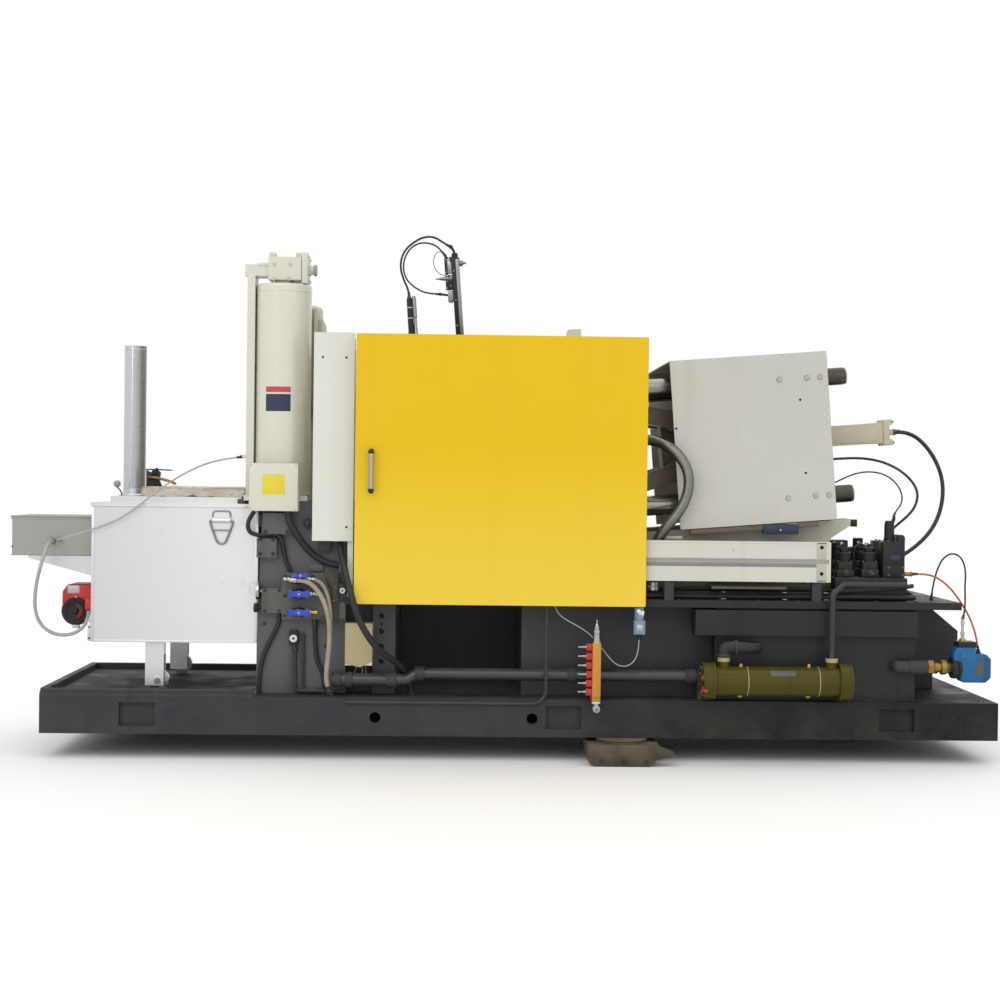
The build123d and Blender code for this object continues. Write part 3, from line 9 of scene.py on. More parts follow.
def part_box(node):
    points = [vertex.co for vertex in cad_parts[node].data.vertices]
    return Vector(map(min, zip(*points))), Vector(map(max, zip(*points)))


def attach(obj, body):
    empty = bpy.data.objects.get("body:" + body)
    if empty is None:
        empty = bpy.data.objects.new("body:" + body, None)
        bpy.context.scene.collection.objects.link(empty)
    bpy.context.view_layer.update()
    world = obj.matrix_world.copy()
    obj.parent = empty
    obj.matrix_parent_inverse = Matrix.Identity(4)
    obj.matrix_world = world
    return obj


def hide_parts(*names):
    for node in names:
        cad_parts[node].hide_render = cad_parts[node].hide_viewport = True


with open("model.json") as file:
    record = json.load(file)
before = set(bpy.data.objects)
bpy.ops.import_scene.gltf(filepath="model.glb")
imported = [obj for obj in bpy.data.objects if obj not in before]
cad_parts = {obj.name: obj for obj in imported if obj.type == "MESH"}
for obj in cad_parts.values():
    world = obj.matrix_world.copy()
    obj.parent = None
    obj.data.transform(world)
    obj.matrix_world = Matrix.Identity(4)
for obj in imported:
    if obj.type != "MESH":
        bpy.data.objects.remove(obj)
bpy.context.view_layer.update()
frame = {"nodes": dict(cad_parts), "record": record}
nodes = frame["nodes"]
print("stage: frame loaded,", len(nodes), "nodes")


# camera, floor and light

camera = {"place": (-0.2097, -8.150, 1.257), "lens": 60.84, "lookRight": 1.46, "lookDown": 0.6, "lean": 0.7}
cameraData = bpy.data.cameras.new("camera")
cameraData.lens = camera["lens"]
cameraData.clip_end = 200
cameraObject = bpy.data.objects.new("camera", cameraData)
aim = Euler((math.radians(90 - camera["lookDown"]), 0, math.radians(-camera["lookRight"]))).to_matrix()
aim = aim @ Matrix.Rotation(math.radians(camera["lean"]), 3, "Z")
cameraObject.matrix_world = Matrix.Translation(camera["place"]) @ aim.to_4x4()
bpy.context.scene.collection.objects.link(cameraObject)
bpy.context.scene.camera = cameraObject
bpy.context.scene.view_settings.view_transform = "Standard"


def tone(red, green, blue):
    # a screen colour from 0 to 255 as the linear colour that Blender wants
    parts = [c / 255 for c in (red, green, blue)]
    return tuple(c / 12.92 if c <= 0.04045 else ((c + 0.055) / 1.055) ** 2.4 for c in parts) + (1.0,)


def tones(codes):
    # colours written as screen codes, with spaces between them
    return [tone(*bytes.fromhex(code)) for code in codes.split()]


def feed(tree, node, values):
    # a link where a value is another node's output, otherwise the plain value
    for key, value in values.items():
        if hasattr(value, "node"):
            tree.links.new(value, node.inputs[key])
        else:
            node.inputs[key].default_value = value


def addNode(tree, kind, values={}, **settings):
    node = tree.nodes.new(kind)
    for key, value in settings.items():
        setattr(node, key, value)
    feed(tree, node, values)
    return node


def seenWhite(tree):
    # 1 for rays that only look at the background
    path = addNode(tree, "ShaderNodeLightPath")
    last = path.outputs["Is Camera Ray"]
    for name in ("Is Glossy Ray", "Is Transmission Ray"):
        last = addNode(tree, "ShaderNodeMath", {0: last, 1: path.outputs[name]},
            operation="MAXIMUM").outputs[0]
    return last


studio = {"skyStrength": 0.5, "floorSize": 60, "floorColour": tone(252, 252, 252)}
world = bpy.data.worlds.new("studioSky")
world.use_nodes = True
sky = world.node_tree
sky.nodes.clear()
white = (1, 1, 1, 1)
skyLight = addNode(sky, "ShaderNodeBackground", {"Color": white, "Strength": studio["skyStrength"]})
skyShown = addNode(sky, "ShaderNodeBackground", {"Color": white, "Strength": 1.0})
skyMix = addNode(sky, "ShaderNodeMixShader", {0: seenWhite(sky), 1: skyLight.outputs[0],
    2: skyShown.outputs[0]})
addNode(sky, "ShaderNodeOutputWorld", {0: skyMix.outputs[0]})
bpy.context.scene.world = world

lamps = {
    "keySun": {"towards": (-0.40, -0.72, 0.56), "softness": 50, "strength": 0.95},
    "fillSun": {"towards": (0.50, -0.75, 0.43), "softness": 70, "strength": 0.45},
    "topSun": {"towards": (0.10, 0.25, 0.96), "softness": 80, "strength": 1.1},
}
for lampName, lamp in lamps.items():
    lampData = bpy.data.lights.new(lampName, "SUN")
    lampData.energy = lamp["strength"]
    lampData.angle = math.radians(lamp["softness"])
    lampObject = bpy.data.objects.new(lampName, lampData)
    lampObject.rotation_euler = Vector(lamp["towards"]).to_track_quat("Z", "Y").to_euler()
    bpy.context.scene.collection.objects.link(lampObject)


# shader node groups that several finishes share

def newGroup(name, inputs, outputs):
    tree = bpy.data.node_groups.new(name, "ShaderNodeTree")
    for label, value in inputs.items():
        tree.interface.new_socket(label, in_out="INPUT", socket_type="NodeSocketFloat").default_value = value
    for label in outputs:
        kind = "NodeSocketVector" if label == "Normal" else "NodeSocketFloat"
        tree.interface.new_socket(label, in_out="OUTPUT", socket_type=kind)
    return tree, addNode(tree, "NodeGroupInput").outputs, addNode(tree, "NodeGroupOutput")


def objectPlace(tree):
    return addNode(tree, "ShaderNodeTexCoord").outputs["Object"]


def noiseOf(tree, place, scale, detail=4.0, stretch=None, rough=0.55, shift=(0, 0, 0)):
    # noise in Object coordinates, stretched along the axes where a stretch is given
    if stretch or any(shift):
        moved = {"Scale": stretch or (1, 1, 1), "Location": shift, "Vector": place}
        place = addNode(tree, "ShaderNodeMapping", moved).outputs["Vector"]
    values = {"Detail": detail, "Roughness": rough, "Vector": place, "Scale": scale}
    return addNode(tree, "ShaderNodeTexNoise", values).outputs["Fac"]


def spread(tree, value, low, high):
    # the run from low to high laid out from 0 to 1
    values = {"From Min": low, "From Max": high, "Value": value}
    return addNode(tree, "ShaderNodeMapRange", values).outputs["Result"]


def times(tree, first, second):
    return addNode(tree, "ShaderNodeMath", {0: first, 1: second}, operation="MULTIPLY").outputs[0]


def plus(tree, first, second):
    return addNode(tree, "ShaderNodeMath", {0: first, 1: second}, operation="ADD", use_clamp=True).outputs[0]


def makeEdgeWear():
    # softened edges, and a mask of the places where paint is rubbed off them
    tree, given, end = newGroup("edgeWear", {"Radius": 0.002, "Amount": 0.5, "Chip Scale": 60.0},
        ("Mask", "Normal"))
    bevel = addNode(tree, "ShaderNodeBevel", {"Radius": given["Radius"]}, samples=4).outputs["Normal"]
    surface = addNode(tree, "ShaderNodeNewGeometry").outputs["Normal"]
    dot = addNode(tree, "ShaderNodeVectorMath", {0: bevel, 1: surface}, operation="DOT_PRODUCT")
    corner = spread(tree, dot.outputs["Value"], 0.97, 0.80)
    chips = spread(tree, noiseOf(tree, objectPlace(tree), given["Chip Scale"], 5.0), 0.44, 0.62)
    feed(tree, end, {"Mask": times(tree, times(tree, corner, chips), given["Amount"]), "Normal": bevel})
    return tree


def makeGrime():
    # slow clouds, thin runs down the walls, fine speckle, dust that settles on top and dirt near the floor
    tree, given, end = newGroup("shopGrime", {"Scale": 2.0}, ("Clouds", "Runs", "Speckle", "Dust", "Low"))
    place = objectPlace(tree)
    clouds = noiseOf(tree, place, given["Scale"], 6.0, rough=0.62)
    runs = noiseOf(tree, place, 9.0, 5.0, stretch=(1.0, 1.0, 0.09), shift=(3.1, 0.4, 1.7))
    speckle = noiseOf(tree, place, 330.0, 2.0)
    surface = addNode(tree, "ShaderNodeNewGeometry").outputs["Normal"]
    upward = addNode(tree, "ShaderNodeSeparateXYZ", {0: surface}).outputs["Z"]
    patches = spread(tree, noiseOf(tree, place, 7.0, 5.0, shift=(1.3, 5.2, 0.8)), 0.35, 0.62)
    height = addNode(tree, "ShaderNodeSeparateXYZ", {0: place}).outputs["Z"]
    feed(tree, end, {
        "Clouds": spread(tree, clouds, 0.3, 0.7), "Runs": spread(tree, runs, 0.56, 0.74),
        "Speckle": spread(tree, speckle, 0.62, 0.72),
        "Dust": times(tree, spread(tree, upward, 0.55, 0.95), patches),
        "Low": times(tree, spread(tree, height, 0.42, 0.1), patches)})
    return tree


def makeGrain():
    # drawn lines along one direction, and scratches across them
    tree, given, end = newGroup("drawnGrain", {"Scale": 4.0}, ("Grain", "Scratches", "Smudges"))
    place = objectPlace(tree)
    scratch = noiseOf(tree, place, 5.0, 3.0, stretch=(6.0, 6.0, 60.0), shift=(0.3, 2.0, 0.1))
    smudge = noiseOf(tree, place, 6.5, 7.0, rough=0.7, shift=(4.0, 0.0, 2.2))
    feed(tree, end, {
        "Grain": noiseOf(tree, place, given["Scale"], 3.0, stretch=(2.0, 2.0, 120.0)),
        "Scratches": spread(tree, scratch, 0.66, 0.7), "Smudges": spread(tree, smudge, 0.56, 0.75)})
    return tree


def makePeel():
    # the fine orange peel of sprayed enamel, as a height
    tree, given, end = newGroup("orangePeel", {"Scale": 140.0}, ("Height",))
    feed(tree, end, {"Height": noiseOf(tree, objectPlace(tree), given["Scale"], 2.0)})
    return tree


edgeWear = makeEdgeWear()
shopGrime = makeGrime()
drawnGrain = makeGrain()
orangePeel = makePeel()


def placeGroup(tree, group, **values):
    return addNode(tree, "ShaderNodeGroup", values, node_tree=group).outputs


def mixColour(tree, factor, first, second):
    return addNode(tree, "ShaderNodeMix", {0: factor, 6: first, 7: second}, data_type="RGBA").outputs[2]


def layered(tree, base, *layers):
    # colours laid one over another, each through a mask and the mask's share
    for mask, share, colour in layers:
        base = mixColour(tree, times(tree, mask, share) if share is not None else mask, base, colour)
    return base


def startMaterial(name):
    material = bpy.data.materials.new(name)
    material.use_nodes = True
    tree = material.node_tree
    tree.nodes.clear()
    shader = addNode(tree, "ShaderNodeBsdfPrincipled")
    addNode(tree, "ShaderNodeOutputMaterial", {0: shader.outputs[0]})
    return material, tree, shader


def bumpInto(tree, shader, height, strength, distance, normal=None):
    values = {"Strength": strength, "Distance": distance, "Height": height}
    if normal:
        values["Normal"] = normal
    feed(tree, shader, {"Normal": addNode(tree, "ShaderNodeBump", values).outputs["Normal"]})


def withPaintedLight(tree, colours, paintedLight):
    # painted light and shade: colours that turn to another one between two places on an axis
    axis, start, end, last = paintedLight
    place = addNode(tree, "ShaderNodeSeparateXYZ", {0: objectPlace(tree)})
    side = spread(tree, place.outputs[axis], start, end)
    return [mixColour(tree, side, colour, tones(last)[0]) for colour in colours]


def enamel(name, colours, rough=0.4, coat=0.0, run=0.35, dust=0.5, worn=0.6, speckle=0.15, cloud=0.5,
        scale=2.0, radius=0.0025, peel=0.25, shine=0.35, paintedLight=None):
    # the paint's two tones, then the colours of its runs, its dust and what shows where it is worn
    material, tree, shader = startMaterial(name)
    grime = placeGroup(tree, shopGrime, Scale=scale)
    edges = placeGroup(tree, edgeWear, Radius=radius, Amount=worn)
    first, second, runTone, dustTone, wearTone = tones(colours)
    if paintedLight:
        first, second = withPaintedLight(tree, (first, second), paintedLight)
    base = layered(
        tree, first, (grime["Clouds"], cloud, second), (grime["Runs"], run, runTone),
        (grime["Speckle"], speckle, wearTone), (grime["Dust"], dust, dustTone),
        (grime["Low"], dust * 0.6, dustTone), (edges["Mask"], None, wearTone))
    dull = plus(tree, times(tree, grime["Dust"], 0.35), times(tree, grime["Clouds"], 0.12))
    feed(tree, shader, {
        "Base Color": base, "Roughness": plus(tree, dull, rough), "Specular IOR Level": shine,
        "Coat Weight": coat, "Coat Roughness": 0.25})
    skin = placeGroup(tree, orangePeel, Scale=140.0)
    bumpInto(tree, shader, skin["Height"], peel, 0.0006, edges["Normal"])
    return material


def metal(name, colours, rough=0.3, grainScale=4.0, smudge=0.4, scratch=0.2, metallic=1.0, grainDepth=0.15,
        paintedLight=None):
    material, tree, shader = startMaterial(name)
    first, second = withPaintedLight(tree, tones(colours), paintedLight) if paintedLight else tones(colours)
    grain = placeGroup(tree, drawnGrain, Scale=grainScale)
    edges = placeGroup(tree, edgeWear, Radius=0.001, Amount=0.0)
    base = layered(
        tree, first, (grain["Grain"], 0.3, second), (grain["Smudges"], smudge, second),
        (grain["Scratches"], scratch, (0.9, 0.9, 0.9, 1)))
    dull = plus(tree, times(tree, grain["Smudges"], 0.18), times(tree, grain["Grain"], 0.12))
    feed(tree, shader, {"Base Color": base, "Metallic": metallic, "Roughness": plus(tree, dull, rough)})
    bumpInto(tree, shader, grain["Grain"], grainDepth, 0.0003, edges["Normal"])
    return material


def moulded(name, colours, rough=0.45, dust=0.3, grain=420.0, depth=0.25, sheen=0.0, shine=0.3):
    material, tree, shader = startMaterial(name)
    grime = placeGroup(tree, shopGrime, Scale=9.0)
    first, second = tones(colours)
    base = layered(tree, first, (grime["Clouds"], None, second), (grime["Dust"], dust, tone(120, 114, 102)))
    dull = plus(tree, times(tree, grime["Clouds"], 0.15), rough)
    feed(tree, shader, {
        "Base Color": base, "Roughness": dull, "Sheen Weight": sheen, "Specular IOR Level": shine})
    bumpInto(tree, shader, placeGroup(tree, orangePeel, Scale=grain)["Height"], depth, 0.0004)
    return material


finishes = {
    "casting": enamel("darkCastingEnamel", "323437 3c3e40 201f1c 58544a 68645c", rough=0.4, run=0.5, dust=0.6,
        worn=0.6, speckle=0.3, shine=0.25),
    "cream": enamel("creamEnamel", "d6d4c6 ceccbd b0aa94 aaa594 969286", rough=0.36, coat=0.15, run=0.22,
        dust=0.35, worn=0.35, speckle=0.05, cloud=0.7),
    # the guard's yellow turns lighter towards the bottom: a painted reflection
    "yellow": enamel("yellowGuardEnamelPaintedReflection", "e2ba04 deb81c cca41e bea03c b4963c", rough=0.34, coat=0.08,
        shine=0.2, paintedLight=("Z", 1.4, 0.82, "e8c83e"), run=0.12, dust=0.2, worn=0.3, speckle=0.03, cloud=0.8,
        scale=1.1),
    "grey_box": enamel("greyBoxEnamel", "9ca098 93978f 76766c aaa69a c4c4be", rough=0.42, run=0.2, dust=0.4,
        worn=0.3),
    "red": enamel("redBurnerEnamel", "c4221a b01c18 6e1a14 965a46 d27864", rough=0.35, coat=0.3, run=0.3,
        dust=0.35, radius=0.004),
    "olive": enamel("oliveCoolerEnamel", "484200 3c3800 2a2604 544e18 786e28", rough=0.2, coat=0.03,
        shine=0.2, peel=0.1, run=0.3, dust=0.4, worn=0.4, radius=0.002),
    "orange": enamel("orangeBarEnamel", "ce8e2c c0842e 8c5e24 a07a4a b4aa96", rough=0.35, coat=0.05,
        radius=0.0015),
    "switch": enamel("blueGreyCastSwitch", "7e8ca0 728096 505660 969692 b4b8be", rough=0.45, radius=0.0015),
    "skate": enamel("oliveSkatePaint", "3c382c 322e24 302e26 746a58 866e54", rough=0.6, run=0.6, dust=0.7,
        worn=0.9, speckle=0.5),
    # the furnace's stainless turns darker towards its left side: painted shade
    "stainless": metal("stainlessSheetPaintedShade", "dbdad9 b6b6b7", rough=0.32, grainScale=3.0, smudge=0.5,
        scratch=0.15, metallic=0.85, grainDepth=0.08, paintedLight=("X", -1.3, -1.95, "c4c4c7")),
    "galvanised": metal("galvanisedSheet", "c4c7ca 9ea2a6", rough=0.34, grainScale=2.0, smudge=0.6,
        scratch=0.25),
    "plated": metal("platedSteel", "acaba7 76746e", rough=0.14, grainScale=8.0, smudge=0.5),
    "bare_steel": metal("oiledSteel", "6c6458 463f36", rough=0.38, smudge=0.7),
    "black": moulded("blackValveBody", "1a1c1e 262728", rough=0.36, dust=0.45, shine=0.25),
    "hose": moulded("blackHoseRubber", "1e2123 2c2e2f", rough=0.42, dust=0.35, depth=0.4),
    "pale_conduit": moulded("paleConduit", "b0b1ac 9e9e96", rough=0.45),
    "steel_hose": metal("ribbedSteelHose", "7a7b75 46463e", rough=0.12, smudge=0.5),
    "beige_hose": moulded("beigeHose", "a8a08c 928a76", rough=0.5),
    "orange_cable": moulded("orangeCable", "ce602c b45028", rough=0.4),
    "blue": moulded("blueHandle", "3e54c4 3246aa", rough=0.4, dust=0.25),
    "blanket": moulded("fibreBlanket", "d6d0c0 bab09c", rough=0.9, dust=0.2, grain=900.0, depth=1.0,
        sheen=0.3),
}
brass = metal("brassFitting", "bea05c 8c703c", rough=0.3, smudge=0.5)
darkSteel = metal("blackenedSteel", "4a4640 322e2a", rough=0.42, smudge=0.6)
flowBlue = enamel("flowSwitchBlue", "106496 0e5480 103246 5a707a 78a0b4", rough=0.4, run=0.6, cloud=0.8,
    scale=9.0, radius=0.003)
redValve = enamel("redValveEnamel", "ce3428 b42a22 781e1a aa6e60 d2968c", rough=0.35, radius=0.001)
holeBlack = moulded("shadowHole", "141414 1c1b1a", rough=0.8)
whiteNylon = moulded("whiteNylon", "e2e2de cecdc6", rough=0.4)
plateSilver = metal("blankPlateSilver", "b0b2b4 96989c", rough=0.4, smudge=0.3)
plateYellow = enamel("blankPlateYellow", "e2ce3c d8c43a aa9632 aaa05a 786e3c", rough=0.4, radius=0.001)
plateNavy = enamel("blankPlateNavy", "2c344e 282e44 1e2232 6e6e6e 8c8c96", rough=0.4, radius=0.001)
plateRed = enamel("blankPlateRed", "c44a54 b8424c 823238 967874 d2a0a0", rough=0.4, radius=0.001)
barBrown = metal("oiledBarEnd", "4e4942 302b24", rough=0.34, smudge=0.7)
rodBrown = metal("heatBrownRod", "966842 684a32", rough=0.45, smudge=0.6)
bandOlive = enamel("paleBandEnamel", "aaa060 968e56 6e683c aaa078 beb48c", rough=0.35, radius=0.001)
agedCream = enamel("agedCreamEnamel", "b0a67e a49a70 92865c 968e76 827a60", rough=0.42, run=0.3, radius=0.001)
agedBrass = metal("agedBrassFitting", "967a3e 604c26", rough=0.36, smudge=0.7)
# lit and shaded copies of the dark casting paint: the stand's is lighter, the bed's is lighter and turns
# darker towards the right, the tank's and the deck's are darker, and the base's turns darker towards the
# right; painted light and painted shade
standEnamelPaintedLight = enamel("standCastingEnamelPaintedLight", "57585a 5e5f61 242320 605c52 747066", rough=0.42, run=0.55,
    cloud=0.8, worn=0.6, speckle=0.35, shine=0.25)
bedEnamelPaintedLightAndShade = enamel("bedCastingEnamelPaintedLightAndShade", "464748 505151 22211e 5a564c 706c62", rough=0.42, run=0.5, dust=0.6,
    worn=0.6, speckle=0.3, shine=0.25, paintedLight=("X", -0.2, 0.5, "2c2e30"))
tankEnamelPaintedShade = enamel("tankEnamelPaintedShade", "242628 2d2f30 1a1a18 504c44 64605a", rough=0.3, run=0.4, dust=0.5,
    worn=0.6, speckle=0.2, shine=0.2)
baseEnamelPaintedShade = enamel("baseFrameEnamelPaintedShade", "2e3135 373a3d 1e1d1a 4e4b40 6c6860", rough=0.4, run=0.45, dust=0.5,
    worn=0.8, speckle=0.35, shine=0.2, paintedLight=("X", 0.0, 1.2, "0e1114"))
# copies of the cream paint: the tail cover's and the rails' are darker and the side panels' is lighter;
# painted shade and painted light
coverCreamPaintedShade = enamel("creamEnamelPaintedShade", "c2c1b8 b9b8ae a09b8a a09c8e 8c887e", rough=0.36, coat=0.1, run=0.2,
    dust=0.35, worn=0.35, speckle=0.05, cloud=0.7)
railCreamPaintedShade = enamel("railCreamEnamelPaintedShade", "cecdc3 c5c4b9 a09b8a a09c8e 8c887e", rough=0.36, coat=0.1, run=0.2,
    dust=0.35, worn=0.35, speckle=0.05, cloud=0.7)
panelCreamPaintedLight = enamel("creamEnamelPaintedLight", "dcddd5 d4d5cc b8b4a0 b0ac9c 969286", rough=0.38, coat=0.1, run=0.2,
    dust=0.35, worn=0.35, speckle=0.05, cloud=0.7)
sleeveCream = enamel("agedSleeveEnamel", "c3bda5 b6af96 8c8268 8c846e 7e7662", rough=0.4, run=0.5, dust=0.5,
    worn=0.6, speckle=0.15, cloud=0.8, scale=5.0)
oiledBar = metal("oiledTieBar", "8c8a82 605a4c", rough=0.16, grainScale=6.0, smudge=0.6)
pipePlastic = moulded("blackPipePlastic", "2c2e30 363738", rough=0.2, dust=0.5, depth=0.12, shine=0.5)
agedGrey = enamel("agedGreyPlate", "5c5c58 4e4e4a 34322c 78746a 8c8a82", rough=0.4, run=0.5, cloud=0.9,
    scale=8.0, radius=0.001)
bottleCream = enamel("glossyCreamEnamel", "d6d4c2 cfcdba b0aa94 aaa594 969286", rough=0.2, coat=0.8, run=0.12,
    worn=0.3, speckle=0.03, cloud=0.6, peel=0.06, shine=0.5)
# the flue's colour turns darker from about its middle to its right edge: painted shade
flueSteelPaintedShade = metal("flueSheetPaintedShade", "c4c7c9 969a9e", rough=0.2, grainScale=1.5, smudge=0.5, scratch=0.2,
    metallic=0.2, paintedLight=("X", -1.762, -1.716, "808180"))
dullSilver = metal("dullSilverTube", "8c8c88 605e58", rough=0.3, smudge=0.5)
# a dark grey for strips along the rail's groove: painted shade
grooveShadeSteel = enamel("paintedGrooveShade", "848688 747678 3c3a34 464238 8c8e92", rough=0.3, cloud=0.9,
    scale=6.0, radius=0.0008)
agedPale = enamel("agedPaleEnamel", "bab8aa aeab9b 8c8672 8c8674 787468", rough=0.38, run=0.4, worn=0.5,
    cloud=0.8, scale=5.0, radius=0.001)
oliveSheet = enamel("oilyOliveSheet", "605e48 52503c 323024 6e6850 78725c", rough=0.45, run=0.6, dust=0.5,
    cloud=0.9, scale=6.0, radius=0.001)
print("stage: finishes made")

# the stand, bed, tank, deck and base take the casting copies with painted light and shade
ownFinish = {
    "injection_stand": standEnamelPaintedLight, "bed_castings": bedEnamelPaintedLightAndShade, "oil_tank": tankEnamelPaintedShade,
    "base_frame": baseEnamelPaintedShade, "deck_plates": tankEnamelPaintedShade,
    # the tail cover, rails and side panels take the cream copies with painted shade and painted light
    "tail_cover": coverCreamPaintedShade, "slide_beams": agedPale, "door_rails": railCreamPaintedShade, "side_guards": panelCreamPaintedLight,
    "clamp_cylinder": sleeveCream, "tie_bars": oiledBar,
    "cooling_pipe": pipePlastic, "valve_plate": agedGrey, "accumulator": bottleCream, "flue_pipe": flueSteelPaintedShade}
for row in frame["record"]["subparts"]:
    nodeObject = nodes[row["node"]]
    nodeObject.data.materials.clear()
    nodeObject.data.materials.append(ownFinish.get(row["node"], finishes[row["material_slot"]]))
print("stage: carried nodes painted")

floorMesh = bpy.data.meshes.new("studioFloor")
half = studio["floorSize"] / 2
floorMesh.from_pydata([(-half, -half, 0), (half, -half, 0), (half, half, 0), (-half, half, 0)], [],
    [(0, 1, 2, 3)])
floorObject = bpy.data.objects.new("studioFloor", floorMesh)
floorMaterial, _, floorShader = startMaterial("studioFloorPaint")
floorShader.inputs["Base Color"].default_value = studio["floorColour"]
floorShader.inputs["Roughness"].default_value = 0.9
floorShader.inputs["Specular IOR Level"].default_value = 0.1
floorMesh.materials.append(floorMaterial)
bpy.context.scene.collection.objects.link(floorObject)


# cords and hoses: the route's points in millimetres, from fitting to fitting

clampFrame = {"origin": (-667.5, 0, 1321), "tilt": 4.5}
along = Vector((math.cos(math.radians(clampFrame["tilt"])), 0, math.sin(math.radians(clampFrame["tilt"]))))
across = Vector((-along.z, 0, along.x))


def clampPoint(a, b, c=0):
    # a up the clamp's axis, b across it, c to the front
    return tuple(Vector(clampFrame["origin"]) + along * a + across * b - Vector((0, c, 0)))


routes = {
    "power_hose": {"diameter": 19, "finish": "hose", "points": [
        clampPoint(2576, 0), clampPoint(2621, 0), (2003, -5, 1508), (2049, -15, 1468), (2084, -30, 1418),
        (2108, -52, 1363), (2120, -78, 1305), (2120, -104, 1243), (2105, -133, 1169), (2072, -165, 1095),
        (2024, -193, 1033), (1968, -216, 984), (1913, -236, 948), (1866.5, -250, 922)]},
    "return_hose": {"diameter": 12, "finish": "hose", "points": [
        clampPoint(2192, -110, 150), clampPoint(2277, -110, 150), (1705, -158, 1394), (1792, -170, 1382),
        (1866, -190, 1351), (1919, -215, 1308), (1951, -240, 1260), (1955, -265, 1213), (1934, -285, 1160),
        (1896, -288, 1117), (1852, -276, 1078), (1810, -256, 1033)]},
    "pilot_hose": {"diameter": 7, "finish": "hose", "points": [
        clampPoint(2192, -225, 200), clampPoint(2226, -225, 200), (1604, -211, 1290), (1652, -233, 1315),
        (1705, -255, 1328), (1763, -280, 1325), (1812, -305, 1302), (1846, -333, 1260), (1857, -360, 1212),
        (1843, -383, 1172), (1814, -400, 1145), (1804, -410, 1120)]},
    "guard_hose": {"diameter": 30, "finish": "hose", "points": [
        (-745, -462, 1048), (-743, -464, 1002), (-735, -480, 950), (-722, -517, 896), (-705, -568, 842),
        (-686, -618, 788), (-669, -641, 732), (-652, -646, 675), (-630, -639, 622), (-602, -622, 570),
        (-570, -598, 522), (-533, -562, 482), (-494, -516, 450), (-459, -471, 420), (-432, -442, 382),
        (-416, -429, 340), (-410, -425, 300)]},
    "water_hose": {"diameter": 22, "finish": "beige_hose", "points": [
        (-926.5, -530, 805), (-894, -530, 805), (-860, -534, 790), (-830, -539, 760), (-804, -542, 718),
        (-786, -543, 668), (-777, -540, 612), (-775, -536, 555), (-778, -531, 498), (-784, -525, 440),
        (-790, -518, 385), (-788, -511, 338), (-776, -505, 300)]},
    "burner_conduit": {"diameter": 16, "finish": "pale_conduit", "points": [
        (-2066, -350, 962), (-2066, -386, 961), (-2068, -424, 946), (-2074, -448, 912), (-2088, -454, 862),
        (-2108, -446, 788), (-2122, -426, 714), (-2124, -411, 648), (-2106, -404, 592), (-2068, -398, 552),
        (-2015, -391, 534), (-1962, -382, 538), (-1920, -371, 562), (-1897, -360, 600), (-1890, -352, 640)]},
    "furnace_cable": {"diameter": 8, "finish": "pale_conduit", "points": [
        (-2034, -350, 968), (-2033, -380, 969), (-2014, -406, 974), (-1965, -421, 989), (-1885, -430, 1014),
        (-1785, -433, 1048), (-1698, -434, 1096), (-1622, -427, 1158), (-1542, -408, 1224),
        (-1455, -386, 1282), (-1369, -362, 1325), (-1280, -345, 1350), (-1200.8, -338, 1360)]},
    "spray_hose": {"diameter": 10, "finish": "hose", "points": [
        clampPoint(282, 788, 100), clampPoint(282, 826, 100), (-475, -99, 2212), (-491, -98, 2264),
        (-488, -97, 2318), (-464, -96, 2364), (-421, -96, 2398), (-392, -96, 2414), (-359, -97, 2421),
        (-326, -98, 2416), clampPoint(457, 1042, 99), clampPoint(499, 1013, 100)]},
    "spray_return": {"diameter": 8, "finish": "hose", "points": [
        clampPoint(467, 973, 112), clampPoint(439, 1015, 114), (-341, -116, 2383), (-374, -117, 2389),
        (-410, -117, 2384), (-446, -116, 2361), (-472, -115, 2316), (-478, -114, 2263), (-465, -113, 2219),
        (-437, -112, 2188), (-403, -112, 2165), clampPoint(373, 800, 112), clampPoint(434, 794, 112)]},
    "switch_cable": {"diameter": 5, "finish": "pale_conduit", "points": [
        (616.5, -580, 572), (616, -579, 530), (607, -575, 478), (583, -570, 444), (545, -564, 432),
        (503, -558, 450), (455, -554, 510), (400, -552, 577), (338, -549, 616), (282, -546, 644),
        (250, -541, 672), (238, -538, 701)]},
    "valve_cable": {"diameter": 8, "finish": "hose", "points": [
        (1988, -395, 745), (1993, -396, 795), (2003, -400, 846), (2015, -404, 890), (2035, -411, 931),
        (2067, -423, 956), (2102, -442, 947), (2120, -461, 908), (2121, -480, 858), (2113, -496, 804),
        (2111, -510, 756), (2106, -525, 714), (2099, -537, 686), (2090.5, -545, 664)]},
    "flow_cable": {"diameter": 9, "finish": "orange_cable", "points": [
        (1886.5, -430, 858), (1938, -433, 860), (1988, -438, 850), (2030, -446, 824), (2068, -458, 785),
        (2103, -473, 733), (2133, -490, 678), (2152, -508, 622), (2162, -525, 570), (2165, -540, 516)]},
}
ribbedRoute = {"diameter": 50, "pitch": 9, "depth": 3, "points": [
    clampPoint(1160, 40, 255), clampPoint(1235, 40, 255), (628, -290, 1463), (678, -352, 1462),
    (712, -425, 1452), (752, -490, 1428), (798, -526, 1384), (832, -533, 1322), (840, -533, 1255),
    (826, -530, 1190), (795, -526, 1132), (758, -510, 1084), (726, -482, 1040), (703, -455, 988),
    (692, -440, 922), (690, -437, 850), (690, -436, 775)]}


def linkPiece(pieceObject, body="machine"):
    bpy.context.scene.collection.objects.link(pieceObject)
    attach(pieceObject, body)
    return pieceObject


